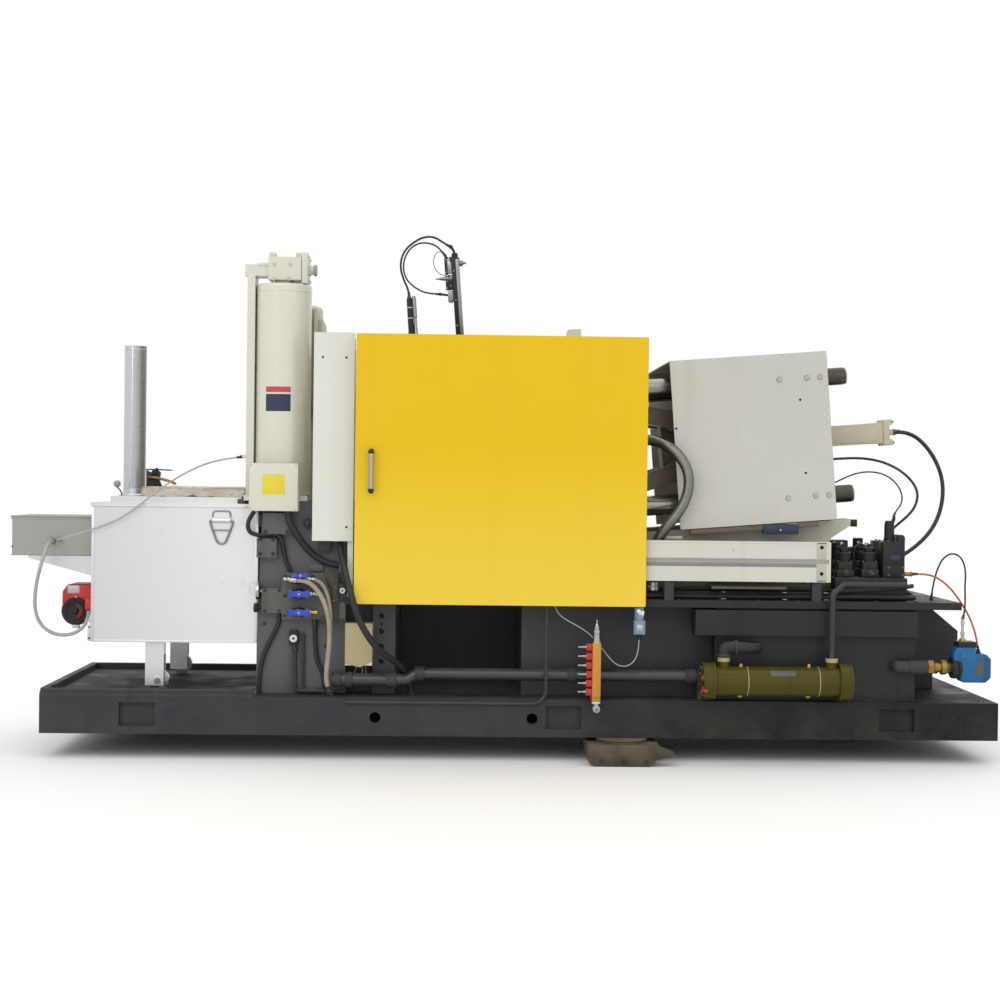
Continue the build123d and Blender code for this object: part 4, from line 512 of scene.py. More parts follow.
def routeCurve(name, points, radius=0.0):
    curve = bpy.data.curves.new(name, "CURVE")
    curve.dimensions = "3D"
    curve.resolution_u = 10
    spline = curve.splines.new("NURBS")
    spline.points.add(len(points) - 1)
    for knot, place in zip(spline.points, points):
        knot.co = (place[0] / 1000, place[1] / 1000, place[2] / 1000, 1)
    spline.order_u = 3
    spline.use_endpoint_u = True
    curve.bevel_depth = radius / 1000
    curve.bevel_resolution = 5
    curve.use_fill_caps = True
    return curve


def lineOf(curve):
    # the smooth line of a route as points in metres, and its length
    holder = bpy.data.objects.new("line", curve)
    bpy.context.scene.collection.objects.link(holder)
    mesh = bpy.data.meshes.new_from_object(holder.evaluated_get(bpy.context.evaluated_depsgraph_get()))
    line = [vertex.co.copy() for vertex in mesh.vertices]
    bpy.data.objects.remove(holder)
    bpy.data.meshes.remove(mesh)
    return line, sum((b - a).length for a, b in zip(line, line[1:]))


for cordName, route in routes.items():
    cordLength = lineOf(routeCurve(cordName + "Line", route["points"]))[1]
    cordPiece = bpy.data.objects.new(cordName + "Run",
        routeCurve(cordName + "Run", route["points"], route["diameter"] / 2))
    cordPiece.data.materials.append(finishes[route["finish"]])
    linkPiece(cordPiece)
    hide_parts(cordName)


def evenSteps(line, step):
    # points an even step apart along a line
    total = sum((b - a).length for a, b in zip(line, line[1:]))
    count = max(2, round(total / step))
    wanted = [total * i / count for i in range(count + 1)]
    places = []
    run = 0.0
    index = 0
    for distance in wanted:
        while index < len(line) - 2 and run + (line[index + 1] - line[index]).length < distance:
            run += (line[index + 1] - line[index]).length
            index += 1
        first, second = line[index], line[index + 1]
        share = (distance - run) / max((second - first).length, 1e-9)
        places.append(first.lerp(second, min(max(share, 0.0), 1.0)))
    return places


def tube(path, radii, sides=16):
    # a closed tube along points in metres, with its own radius at each point
    corners, faces, rings = [], [], []
    tangents = [(path[min(i + 1, len(path) - 1)] - path[max(i - 1, 0)]).normalized()
        for i in range(len(path))]
    side = tangents[0].orthogonal().normalized()
    for place, tangent, radius in zip(path, tangents, radii):
        side = (side - tangent * side.dot(tangent)).normalized()
        other = tangent.cross(side)
        rings.append([len(corners) + k for k in range(sides)])
        for k in range(sides):
            angle = 2 * math.pi * k / sides
            corners.append(place + (side * math.cos(angle) + other * math.sin(angle)) * radius)
    for before, after in zip(rings, rings[1:]):
        for k in range(sides):
            n = (k + 1) % sides
            faces.append([before[k], before[n], after[n], after[k]])
    return corners, faces + [rings[0][::-1], rings[-1]]


ribbedLine, ribbedLength = lineOf(routeCurve("ribbedLine", ribbedRoute["points"]))
ribSteps = evenSteps(ribbedLine, ribbedRoute["pitch"] / 4000)
ribProfile = (0.0, 0.72, 1.0, 0.72)
ribRadii = [(ribbedRoute["diameter"] / 2 - ribbedRoute["depth"] * (1 - ribProfile[i % 4])) / 1000
    for i in range(len(ribSteps))]
ribCorners, ribFaces = tube(ribSteps, ribRadii, 28)
ribbedMesh = bpy.data.meshes.new("ribbedHoseRun")
ribbedMesh.from_pydata(ribCorners, [], ribFaces)
ribbedMesh.shade_smooth()
ribbedMesh.materials.append(finishes["steel_hose"])
ribbedPiece = linkPiece(bpy.data.objects.new("ribbedHoseRun", ribbedMesh))
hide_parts("ribbed_hose")
print("stage: cords laid,", len(routes) + 1)


# small builders: each gives the corners and faces of one shape, in metres

def taken(build, edge=0.0):
    if edge:
        bmesh.ops.bevel(
            build, geom=build.edges[:], offset=edge / 1000, segments=2, profile=0.5, affect="EDGES",
            clamp_overlap=True)
    build.verts.index_update()
    shape = ([v.co.copy() for v in build.verts], [[v.index for v in f.verts] for f in build.faces])
    build.free()
    return shape


def block(low, high, edge=0.0):
    # a block between two corners in millimetres, with its edges rounded off
    build = bmesh.new()
    low, high = Vector(low) / 1000, Vector(high) / 1000
    bmesh.ops.create_cube(build, size=1.0,
        matrix=Matrix.Translation((low + high) / 2) @ Matrix.Diagonal((*(high - low), 1.0)))
    return taken(build, edge)


def prism(outline, low, high, edge=0.0, plane="XZ"):
    # a flat outline in millimetres, made thick between two places on the third axis
    build = bmesh.new()
    lay = {
        "XZ": lambda p, q: (p[0], q, p[1]), "XY": lambda p, q: (p[0], p[1], q),
        "YZ": lambda p, q: (q, p[0], p[1])}[plane]
    face = build.faces.new([build.verts.new(Vector(lay(p, low)) / 1000) for p in outline])
    raised = bmesh.ops.extrude_face_region(build, geom=[face])["geom"]
    step = (Vector(lay((0, 0), high)) - Vector(lay((0, 0), low))) / 1000
    bmesh.ops.translate(build, vec=step, verts=[g for g in raised if isinstance(g, bmesh.types.BMVert)])
    bmesh.ops.recalc_face_normals(build, faces=build.faces)
    return taken(build, edge)


def turned(place, axis, profile, sides=28):
    # a turned shape: pairs of distance along the axis and radius, in millimetres
    axis = Vector(axis).normalized()
    side = axis.orthogonal().normalized()
    other = axis.cross(side)
    corners, faces, rings = [], [], []
    for distance, radius in profile:
        centre = Vector(place) + axis * distance
        ring = []
        for k in range(sides if radius > 0.01 else 1):
            angle = 2 * math.pi * k / sides
            ring.append(len(corners))
            corners.append((centre + (side * math.cos(angle) + other * math.sin(angle)) * radius) / 1000)
        rings.append(ring)
    for before, after in zip(rings, rings[1:]):
        if len(before) == 1 and len(after) == 1:
            continue
        for k in range(sides):
            n = (k + 1) % sides
            if len(before) == 1:
                faces.append([before[0], after[n], after[k]])
            elif len(after) == 1:
                faces.append([before[k], before[n], after[0]])
            else:
                faces.append([before[k], before[n], after[n], after[k]])
    if len(rings[0]) > 1:
        faces.append(rings[0][::-1])
    if len(rings[-1]) > 1:
        faces.append(list(rings[-1]))
    return corners, faces


def solid(place, axis, profile, sides=28):
    # a turned shape without a bore: its profile closes on the axis at both ends
    return turned(place, axis, [(profile[0][0], 0), *profile, (profile[-1][0], 0)], sides)


def rod(place, axis, length, radius, edge=1.0, sides=24):
    # a plain turned bar with broken corners
    return turned(place, axis, [(0, 0), (0, radius - edge), (edge, radius), (length - edge, radius),
        (length, radius - edge), (length, 0)], sides)


def ringOf(place, axis, inner, outer, length, sides=28):
    # a ring with a hole
    return turned(place, axis, [(length / 2, inner), (0, inner), (0, outer), (length, outer), (length, inner),
        (length / 2, inner)], sides)


def pipe(points, radius, sides=14):
    # a rigid pipe bent smoothly through points in millimetres
    line = lineOf(routeCurve("pipeLine", points))[0]
    return tube(line, [radius / 1000] * len(line), sides)


def mirrored(shape):
    # the same shape on the other side of the machine
    corners, faces = shape
    return [Vector((c.x, -c.y, c.z)) for c in corners], [face[::-1] for face in faces]


def bothSides(parts):
    return parts + [(mirrored(shape), finish) for shape, finish in parts]


def around(radius, degrees):
    # the two legs of a radius at an angle
    return radius * math.cos(math.radians(degrees)), radius * math.sin(math.radians(degrees))


def inClamp(shape):
    # a shape drawn along the clamp's own axes, set into the machine
    corners, faces = shape
    origin = Vector(clampFrame["origin"]) / 1000
    return [origin + along * c.x + across * c.z + Vector((0, c.y, 0)) for c in corners], faces


def spun(shape, place, axis, degrees):
    # a shape turned about an axis through a point in millimetres
    corners, faces = shape
    centre = Vector(place) / 1000
    turn = Matrix.Rotation(math.radians(degrees), 3, Vector(axis))
    return [centre + turn @ (c - centre) for c in corners], faces


def makePiece(name, parts, body="machine", angle=35):
    # one named piece from (shape, finish) pairs
    corners, faces, indices, used = [], [], [], []
    for (shapeCorners, shapeFaces), finish in parts:
        if finish not in used:
            used.append(finish)
        start = len(corners)
        corners += shapeCorners
        faces += [[start + i for i in face] for face in shapeFaces]
        indices += [used.index(finish)] * len(shapeFaces)
    mesh = bpy.data.meshes.new(name)
    mesh.from_pydata(corners, [], faces)
    for finish in used:
        mesh.materials.append(finish)
    mesh.polygons.foreach_set("material_index", indices)
    mesh.shade_smooth()
    mesh.set_sharp_from_angle(angle=math.radians(angle))
    made = linkPiece(bpy.data.objects.new(name, mesh), body)
    return made


def frontOf(nodeName, x, z, start=-1200):
    # where a ray from the front first meets a carried node, in millimetres
    hit, place = nodes[nodeName].ray_cast(Vector((x, start, z)) / 1000, Vector((0, 1, 0)))[:2]
    if not hit:
        raise ValueError(f"nothing of {nodeName} at {x}, {z}")
    return place.y * 1000


def topOf(nodeName, x, y, start=3000):
    # the same from above
    hit, place = nodes[nodeName].ray_cast(Vector((x, y, start)) / 1000, Vector((0, 0, -1)))[:2]
    if not hit:
        raise ValueError(f"nothing of {nodeName} at {x}, {y}")
    return place.z * 1000


# geometry node trees for what repeats

def geometryTree(name, inputs):
    # a tree with named inputs for its sizes, and its finish
    tree = bpy.data.node_groups.new(name, "GeometryNodeTree")
    tree.interface.new_socket("Geometry", in_out="INPUT", socket_type="NodeSocketGeometry")
    for label, value in inputs.items():
        kind = "NodeSocketInt" if isinstance(value, int) else "NodeSocketFloat"
        tree.interface.new_socket(label, in_out="INPUT", socket_type=kind).default_value = value
    tree.interface.new_socket("Finish", in_out="INPUT", socket_type="NodeSocketMaterial")
    tree.interface.new_socket("Geometry", in_out="OUTPUT", socket_type="NodeSocketGeometry")
    return tree, addNode(tree, "NodeGroupInput").outputs, addNode(tree, "NodeGroupOutput")


def raiseTop(tree, mesh, top, distance):
    values = {"Mesh": mesh, "Offset Scale": distance, "Individual": False}
    if top:
        values["Selection"] = top
    node = addNode(tree, "GeometryNodeExtrudeMesh", values, mode="FACES")
    return node.outputs["Mesh"], node.outputs["Top"]


def narrowTop(tree, mesh, top, factor):
    values = {"Geometry": mesh, "Selection": top, "Scale": factor}
    return addNode(tree, "GeometryNodeScaleElements", values, domain="FACE").outputs["Geometry"]


def randomValue(tree, given, kind="FLOAT", **limits):
    # low and high are pairs of a socket's number and the limit that it gets
    values = {limits["low"][0]: limits["low"][1], limits["high"][0]: limits["high"][1]} if limits else {}
    return addNode(tree, "FunctionNodeRandomValue", {**values, "Seed": given["Seed"]}, data_type=kind).outputs


def endTree(tree, geometry, given, end):
    realize = addNode(tree, "GeometryNodeRealizeInstances", {0: geometry})
    paint = addNode(tree, "GeometryNodeSetMaterial",
        {"Geometry": realize.outputs[0], "Material": given["Finish"]})
    feed(tree, end, {0: paint.outputs[0]})
    return tree


def makeScrewTree():
    # a screw with a chamfered head and a socket at every point, turned to face the point's way
    tree, given, end = geometryTree("screwField", {
        "Head Radius": 0.006, "Head Height": 0.004, "Socket Radius": 0.003, "Socket Depth": 0.002,
        "Sides": 18, "Seed": 3})
    taper, fullTurn = 0.86, 6.283
    radius, height = given["Head Radius"], given["Head Height"]
    circle = addNode(
        tree, "GeometryNodeMeshCircle", {"Vertices": given["Sides"], "Radius": radius},
        fill_type="NGON").outputs[0]
    mesh, top = raiseTop(tree, circle, None, times(tree, height, 0.75))
    mesh, top = raiseTop(tree, mesh, top, times(tree, height, 0.25))
    mesh = narrowTop(tree, mesh, top, taper)
    flat = times(tree, radius, taper)
    ratio = addNode(tree, "ShaderNodeMath", {0: given["Socket Radius"], 1: flat}, operation="DIVIDE")
    mesh, top = raiseTop(tree, mesh, top, 0.0)
    mesh = narrowTop(tree, mesh, top, ratio.outputs[0])
    mesh, top = raiseTop(tree, mesh, top, times(tree, given["Socket Depth"], -1.0))
    underside = addNode(tree, "GeometryNodeFlipFaces", {0: circle})
    both = addNode(tree, "GeometryNodeJoinGeometry", {0: mesh})
    feed(tree, both, {0: underside.outputs[0]})
    merged = addNode(tree, "GeometryNodeMergeByDistance", {"Distance": 0.00001, "Geometry": both.outputs[0]})
    facing = addNode(tree, "GeometryNodeInputNamedAttribute", {"Name": "facing"}, data_type="FLOAT_VECTOR")
    turn = addNode(tree, "FunctionNodeAlignRotationToVector", {"Vector": facing.outputs["Attribute"]},
        axis="Z")
    angle = times(tree, randomValue(tree, given)[1], fullTurn)
    about = addNode(tree, "FunctionNodeAxisAngleToRotation", {"Axis": (0, 0, 1), "Angle": angle})
    whole = addNode(
        tree, "FunctionNodeRotateRotation", {"Rotation": turn.outputs[0], "Rotate By": about.outputs[0]},
        rotation_space="LOCAL")
    copies = addNode(tree, "GeometryNodeInstanceOnPoints", {
        "Points": given["Geometry"], "Instance": merged.outputs[0], "Rotation": whole.outputs[0]})
    return endTree(tree, copies.outputs[0], given, end)


def makeWeldTree():
    # overlapping flat drops along an edge, as a weld bead has them
    tree, given, end = geometryTree("weldBead", {"Pitch": 0.005, "Width": 0.004, "Seed": 5})
    path = addNode(tree, "GeometryNodeMeshToCurve", {"Mesh": given["Geometry"]})
    steps = addNode(
        tree, "GeometryNodeResampleCurve", {"Curve": path.outputs[0], "Length": given["Pitch"]},
        mode="LENGTH")
    drop = addNode(tree, "GeometryNodeMeshIcoSphere", {"Subdivisions": 2, "Radius": given["Width"]})
    copies = addNode(tree, "GeometryNodeInstanceOnPoints", {
        "Points": steps.outputs[0], "Instance": drop.outputs["Mesh"],
        "Scale": randomValue(tree, given, low=(2, 0.8), high=(3, 1.12))[1]})
    return endTree(tree, copies.outputs[0], given, end)


screwTree = makeScrewTree()
weldTree = makeWeldTree()


def grow(name, sourceMesh, tree, values):
    # runs a tree on a mesh and keeps the result as a plain mesh
    source = bpy.data.objects.new(name + "Source", sourceMesh)
    bpy.context.scene.collection.objects.link(source)
    modifier = source.modifiers.new("grow", "NODES")
    modifier.node_group = tree
    for socket in tree.interface.items_tree:
        if socket.in_out == "INPUT" and socket.name in values:
            modifier[socket.identifier] = values[socket.name]
    mesh = bpy.data.meshes.new_from_object(source.evaluated_get(bpy.context.evaluated_depsgraph_get()))
    bpy.data.objects.remove(source)
    mesh.name = name
    made = linkPiece(bpy.data.objects.new(name, mesh))
    return made


def screws(name, spots, head, socket, finish, sides=18):
    # spots are places in millimetres, some with their own facing; head and socket are radius and height
    mesh = bpy.data.meshes.new(name)
    mesh.from_pydata([Vector(spot[:3]) / 1000 for spot in spots], [], [])
    ways = mesh.attributes.new("facing", "FLOAT_VECTOR", "POINT")
    ways.data.foreach_set("vector", [c for spot in spots for c in (spot[3] if len(spot) > 3 else (0, -1, 0))])
    values = {
        "Head Radius": head[0] / 1000, "Head Height": head[1] / 1000, "Socket Radius": socket[0] / 1000,
        "Socket Depth": socket[1] / 1000, "Sides": sides, "Finish": finish}
    return grow(name, mesh, screwTree, values)


def weld(name, lines, width, finish):
    # lines are lists of places in millimetres
    corners, edges = [], []
    for line in lines:
        start = len(corners)
        corners += [Vector(p) / 1000 for p in line]
        edges += [(start + i, start + i + 1) for i in range(len(line) - 1)]
    mesh = bpy.data.meshes.new(name)
    mesh.from_pydata(corners, edges, [])
    values = {"Pitch": width * 0.9 / 1000, "Width": width / 2000, "Finish": finish}
    return grow(name, mesh, weldTree, values)


print("stage: builders ready")

# short names of the finishes that many pieces share
black, casting, cream, galvanised, plated, rubber, bareSteel = [
    finishes[key] for key in ("black", "casting", "cream", "galvanised", "plated", "hose", "bare_steel")]
red, yellow, boxGrey, beige, blue, skatePaint = [
    finishes[key] for key in ("red", "yellow", "grey_box", "beige_hose", "blue", "skate")]
toTop, toFront, toRight, toLeft = (0, 0, 1), (0, -1, 0), (1, 0, 0), (-1, 0, 0)


# clamp: screws in the cover, oiled bar ends, cylinder sleeve, guide skirts

tailCover = {
    "face": 470, "screws": [(1948, 268), (2075, 268), (2136, 268), (1955, -275), (2081, -271), (2143, -273)],
    "holes": [(2038, 170), (1463, 76), (2042, -165)], "headRadius": 10.5, "holeRadius": 5.6}
coverSpots = [(*clampPoint(a, b, tailCover["face"] - 0.5), (0, -1, 0)) for a, b in tailCover["screws"]]
coverSpots += [(*clampPoint(a, b, -tailCover["face"] + 0.5), (0, 1, 0)) for a, b in tailCover["screws"]]
screws("tailCoverWashers", coverSpots, (12.5, 1.8), (8.5, 0.9), agedGrey, sides=24)
screws("tailCoverScrews", [(s[0], s[1] * 1.003, s[2], s[3]) for s in coverSpots],
    (tailCover["headRadius"], 5.5), (5.0, 3.5), coverCreamPaintedShade, sides=20)
coverHoles = [(*clampPoint(a, b, tailCover["face"] + 0.2), (0, -1, 0)) for a, b in tailCover["holes"]]
coverHoles += [(*clampPoint(a, b, -tailCover["face"] - 0.2), (0, 1, 0)) for a, b in tailCover["holes"]]
screws("tailCoverHoles", coverHoles, (tailCover["holeRadius"], 0.8), (3.0, 0.7), holeBlack, sides=14)

barEnds = {"start": 2173.5, "reach": 2300, "radius": 40.5, "spacing": 275}
endParts = []
for v in (-1, 1):
    for w in (-1, 1):
        place = (barEnds["start"], v * barEnds["spacing"], w * barEnds["spacing"])
        reach, radius = barEnds["reach"] - barEnds["start"], barEnds["radius"]
        profile = [(0, 0), (0, radius), (reach - 17, radius), (reach - 9, radius - 2.5),
            (reach - 3, radius - 8), (reach, radius - 15), (reach, 9), (reach - 5, 7), (reach - 5, 0)]
        endParts.append((inClamp(turned(place, (1, 0, 0), profile, 36)), barBrown))
makePiece("tieBarEnds", endParts)

sleeve = {"start": 2173, "end": 2522, "half": 50}
sleeveOutline = []
for t in range(0, 21):
    share = t / 20
    flare = 8 * max(0.0, share - 0.62) ** 1.6 - 1.5 * math.sin(share * 3.14)
    reach = sleeve["start"] + share * (sleeve["end"] - sleeve["start"])
    sleeveOutline.append((reach, sleeve["half"] + flare))
sleeveSides = sleeveOutline + [(a, -b) for a, b in reversed(sleeveOutline)]
sleeveParts = [(inClamp(prism(sleeveSides, -54, 54, 4)), sleeveCream)]
sleeveParts += [
    (inClamp(block((2196, -56.2, -39), (2486, -53.5, 39), 2.2)), sleeveCream),
    (inClamp(block((2196, 53.5, -39), (2486, 56.2, 39), 2.2)), sleeveCream),
]
for y in (-54, 32):
    for b in (-62, 38):
        sleeveParts.append((inClamp(block((2512, y, b), (2562, y + 22, b + 24), 4)), sleeveCream))
sleeveParts.append((inClamp(block((2508, -50, -52), (2548, 50, 52), 5)), sleeveCream))
makePiece("cylinderSleeve", sleeveParts)
sleeveSpots = [(*clampPoint(2562, b, c), tuple(along)) for b in (-50, 50) for c in (-43, 43)]
screws("sleeveBolts", sleeveSpots, (7, 6), (3.5, 3), bareSteel)

guideSkirt = {"left": -660, "right": 1610, "low": 737, "high": 826, "sheet": 5, "face": 376}
skirtBack, skirtFace = -guideSkirt["face"], -guideSkirt["face"] - guideSkirt["sheet"]
skirtEnds = [
    (guideSkirt["left"], skirtFace, guideSkirt["low"]), (guideSkirt["right"], skirtBack, guideSkirt["high"])]
makePiece("guideSkirts", bothSides([
    (block(*skirtEnds, 1), oliveSheet),
    (block((700, -430, 737), (1600, skirtFace, 752), 3), casting),
    (block((950, -520, 786), (1290, -400, 798), 1), oliveSheet),
]))
skirtLines = []
for y, z, radius in ((-448, 762, 9), (-470, 748, 11), (-408, 778, 7)):
    line = [(650, y, z), (900, y - 3, z - 1), (1150, y + 2, z), (1400, y, z + 1), (1520, y, z - 2)]
    skirtLines.append((pipe(line, radius), rubber))
for x in (760, 1010, 1290, 1480):
    skirtLines += [
        (block((x - 11, -484, 736.5), (x + 11, -399, 739.5), 1), galvanised),
        (block((x - 9, -482, 768), (x + 9, -401, 771), 1), galvanised),
    ]
makePiece("deckOilLines", skirtLines)
screws("skirtScrews", [(x, skirtFace + 0.3, z) for x in range(-600, 1600, 200) for z in (755, 810)], (6, 4),
    (3, 2.4), darkSteel)

underCoverWithShadowBand = [
    (block((1192, -466, 1036), (1354, -420, 1082), 3), plateNavy),
    (block((1266, -468, 1050), (1274, -465, 1058), 0.5), plated),
    # a dark steel band under the cover's lower edge stands in for the shadow there: painted shadow
    (inClamp(block((1500, -455, -414), (2092, -440, -384), 2)), bareSteel),
    (inClamp(block((1930, -457, -408), (1990, -454, -390), 1)), coverCreamPaintedShade),
    (block((700, -470, 1006), (820, -440, 1022), 2), coverCreamPaintedShade),
    (block((1571, -312, 1084), (1650, -288, 1098), 3), darkSteel),
    (block((1630, -316, 1070), (1658, -284, 1104), 4), black),
]
makePiece("underCoverFittingsAndShadowBand", underCoverWithShadowBand)

railEnd = {"left": 1418, "right": 1462, "front": -562.2, "face": -560}
railParts = bothSides([
    (block((railEnd["left"], railEnd["front"], 926), (railEnd["right"], railEnd["face"], 1001), 0.8),
        agedPale),
    (block((railEnd["left"], railEnd["front"], 825), (railEnd["right"], railEnd["face"], 904), 0.8),
        agedPale),
    (block((1474, -563, 823), (1482, -559.5, 1003), 1), cream),
    (block((-646, -562.2, 996), (1474, -560, 1003.5), 0.8), cream),
    (block((-646, -562.2, 822.5), (1474, -560, 830), 0.8), cream),
    # a plated strip along the groove's upper edge is a painted highlight; the dark strip below the groove is
    # painted shade
    (block((-646, -561.6, 924.5), (1416, -560, 927.5), 0.5), plated),
    (block((-646, -561.4, 890), (1416, -560, 905.5), 0.5), grooveShadeSteel),
])
grooveFace = frontOf("slide_beams", 1000, 915)
# dark strips laid in the bottom of the groove: painted shade
for side in (-1, 1):
    near = side * (abs(grooveFace) + 0.6)
    front, back = sorted((near, near - side * 0.7))
    railParts.append((block((-646, front, 905.8), (1474, back, 924.2), 0.2), grooveShadeSteel))
print("stage: rail groove at", round(grooveFace, 1))
makePiece("railStrips", railParts)
screws("railEndHoles", [(1440, side * 562.4, z, (0, side, 0)) for side in (-1, 1) for z in (980, 861)],
    (8.5, 0.9), (6.4, 0.8), holeBlack, sides=16)
screws("railBolts", [(x, side * 560, 965, (0, side, 0)) for side in (-1, 1)
    for x in (-560, -160, 240, 640, 1040)], (6, 2), (3, 1.4), cream)

# guard: stiffeners behind the sheet, and the handle's end mounts

guardBack = {"left": -646, "right": 620, "low": 1016, "high": 1892, "front": -575.2, "back": -568}
guardLeft, guardRight, guardLow, guardHigh, ribFront, ribBack = guardBack.values()
guardParts = [
    (block((guardLeft, ribFront, guardLow), (guardLeft + 42, ribBack, guardHigh), 1.5), yellow),
    (block((guardRight - 42, ribFront, guardLow), (guardRight, ribBack, guardHigh), 1.5), yellow),
    (block((guardLeft + 42, ribFront, guardHigh - 36), (guardRight - 42, ribBack, guardHigh), 1.5), yellow),
    (block((guardLeft + 42, ribFront, guardLow), (guardRight - 42, ribBack, guardLow + 36), 1.5), yellow),
    (block((-34, ribFront, guardLow + 36), (8, ribBack, guardHigh - 36), 1.5), yellow),
]
makePiece("guardStiffeners", guardParts, body="sliding_guard")
handleEnds = []
for z in (1207, 1378):
    handleEnds.append((block((-605.2, -640.6, z - 0.6), (-581.8, -600.2, z + 15), 2.5), black))
handleEnds.append((block((-602, -601.6, 1200), (-585, -600, 1400), 0.6), black))
makePiece("handleMounts", handleEnds, body="sliding_guard")

# side panel and cover box: holes, corner screws, folded edges, a bare plate

screws("sidePanelHoles", [(-820, -520.2, 1811), (-714, -520.2, 1810), (-706, -520.2, 1047)], (5.2, 0.7),
    (4.0, 0.6), holeBlack, sides=16)
coverBox = {"left": -1145.8, "right": -925.8, "low": 1115, "high": 1331, "face": -520.3}
boxLid = [
    (block((coverBox["left"] + 1, coverBox["face"] - 2.5, coverBox["low"] + 1),
        (coverBox["right"] - 1, coverBox["face"], coverBox["high"] - 1), 1.2), cream),
    (block((-1086, coverBox["face"] - 3.4, 1190), (-986, coverBox["face"] - 2.5, 1280), 0.4), plateYellow),
    (block((coverBox["left"] - 0.8, -452, coverBox["low"]), (coverBox["right"] + 0.8, -448, coverBox["high"]),
        0.5), cream),
]
makePiece("coverBoxLid", boxLid)
screws("coverBoxScrews", [(x, coverBox["face"] - 2.3, z) for x in (-1137, -935) for z in (1124, 1322)],
    (4, 2), (2, 1.4), cream)

# accumulator: curved bare plates, head bolts, end plate and port nut, gusset behind

bottle = {"centre": (-1018.5, -300), "radius": 127.1}


def curvedPlate(centre, radius, start, end, low, high):
    # a thin plate bent round an upright cylinder; angles from the front, in degrees
    corners, faces = [], []
    steps, thick = 14, 0.7
    for i in range(steps + 1):
        for r in (radius, radius + thick):
            a, b = around(r, start + (end - start) * i / steps)
            corners += [Vector((centre[0] + b, centre[1] - a, z)) / 1000 for z in (low, high)]
    for i in range(steps):
        a, b = i * 4, i * 4 + 4
        faces += [[a + 2, b + 2, b + 3, a + 3], [a, a + 1, b + 1, b][::-1],
            [a + 1, a + 3, b + 3, b + 1][::-1], [a, b, b + 2, a + 2]]
    last = steps * 4
    faces += [[0, 2, 3, 1], [last, last + 1, last + 3, last + 2]]
    build = bmesh.new()
    made = [build.verts.new(c) for c in corners]
    for face in faces:
        build.faces.new([made[i] for i in face])
    bmesh.ops.recalc_face_normals(build, faces=build.faces)
    return taken(build)


bottleParts = [
    (curvedPlate(bottle["centre"], bottle["radius"], -32, 21, 1656, 1681), plateRed),
    (curvedPlate(bottle["centre"], bottle["radius"], -32, 21, 1569, 1647), plateNavy),
    (turned((*bottle["centre"], 2118), toTop, [(0, 120), (0, 127.2), (2, 128.2), (5, 128.2), (7, 127.2),
        (7, 120)], 64), bottleCream),
    (turned((*bottle["centre"], 1186), toTop, [(0, 120), (0, 130), (3, 131), (10, 130), (12, 127), (12, 120)],
        64), cream),
]
makePiece("bottlePlates", bottleParts, angle=25)
headPlate = [
    (block((-934, -374, 2158), (-906, -226, 2300), 4), cream),
    (solid((-906, -300, 2225.5), toRight, [(0, 27), (8, 27), (10, 25)], 6), cream),
    (solid((-896, -300, 2225.5), toRight, [(0, 20.6), (13, 20.6), (15, 19)], 32), cream),
    (solid((-881, -300, 2225.5), toRight, [(0, 26), (10, 26), (12, 24), (12, 10), (9, 9)], 32), boxGrey),
    (solid((-1071, -300, 2300), toTop, [(-24, 15), (-4, 15), (1.5, 9)], 24), cream),
    (block((-1138, -366, 2238), (-1085, -234, 2250), 3), cream),
]
makePiece("headFittings", headPlate)
screws("headBolts", [(x, -375.2, z) for x, z in ((-1060, 2243), (-987, 2244), (-1059, 2177), (-992, 2178))],
    (9, 6), (4.5, 3.5), cream)
screws("headEndBolts", [(-906.3, y, z, toRight) for y in (-355, -245) for z in (2178, 2280)], (7, 5),
    (3.5, 3), cream)
gusset = prism([(-893, 1600), (-893, 2075), (-878, 2068), (-840, 1990), (-838, 1950), (-846, 1600)], -150,
    -62, 2)
gussetPost = block((-874, -154, 1600), (-858, -149, 2012), 1.5)
makePiece("cylinderGusset", [(gusset, cream), (gussetPost, agedPale),
    (block((-893, -146, 1560), (-850, -66, 1602), 3), casting)])
print("stage: clamp, guard and bottle dressed")

# furnace: folded edges, lid items, fibre blanket

shell = {"left": -1872.8, "right": -1114.8, "front": 400, "low": 508, "high": 1130}
shellLeft, shellRight, shellFront, shellLow, shellHigh = shell.values()
foldShapes = [
    block((shellLeft - 0.8, -shellFront - 1.6, shellLow), (shellLeft + 13, -shellFront + 0.2, shellHigh),
        0.7),
    block((shellRight - 14, -shellFront - 1.6, shellLow), (shellRight, -shellFront + 0.2, shellHigh), 0.7),
    block((shellLeft + 13, -shellFront - 1.2, shellLow - 1),
        (shellRight - 14, -shellFront + 0.2, shellLow + 9), 0.5),
    block((shellLeft - 5.5, -shellFront - 7.2, 1127), (shellRight, -shellFront - 5.8, 1131.5), 0.5),
]
shellParts = bothSides([(shape, finishes["stainless"]) for shape in foldShapes]) + [
    (block((-1889.5, -396, 510), (-1874, -150, 596), 1.5), galvanised),
    (prism([(-1889.5, 596), (-1874, 596), (-1874, 640)], -396, -390, 0.5), galvanised),
]
makePiece("furnaceFolds", shellParts)
screws("furnaceFlangeScrews", [(-1881, -396.3, z) for z in (522, 574)], (4.5, 3), (2.2, 2), darkSteel)

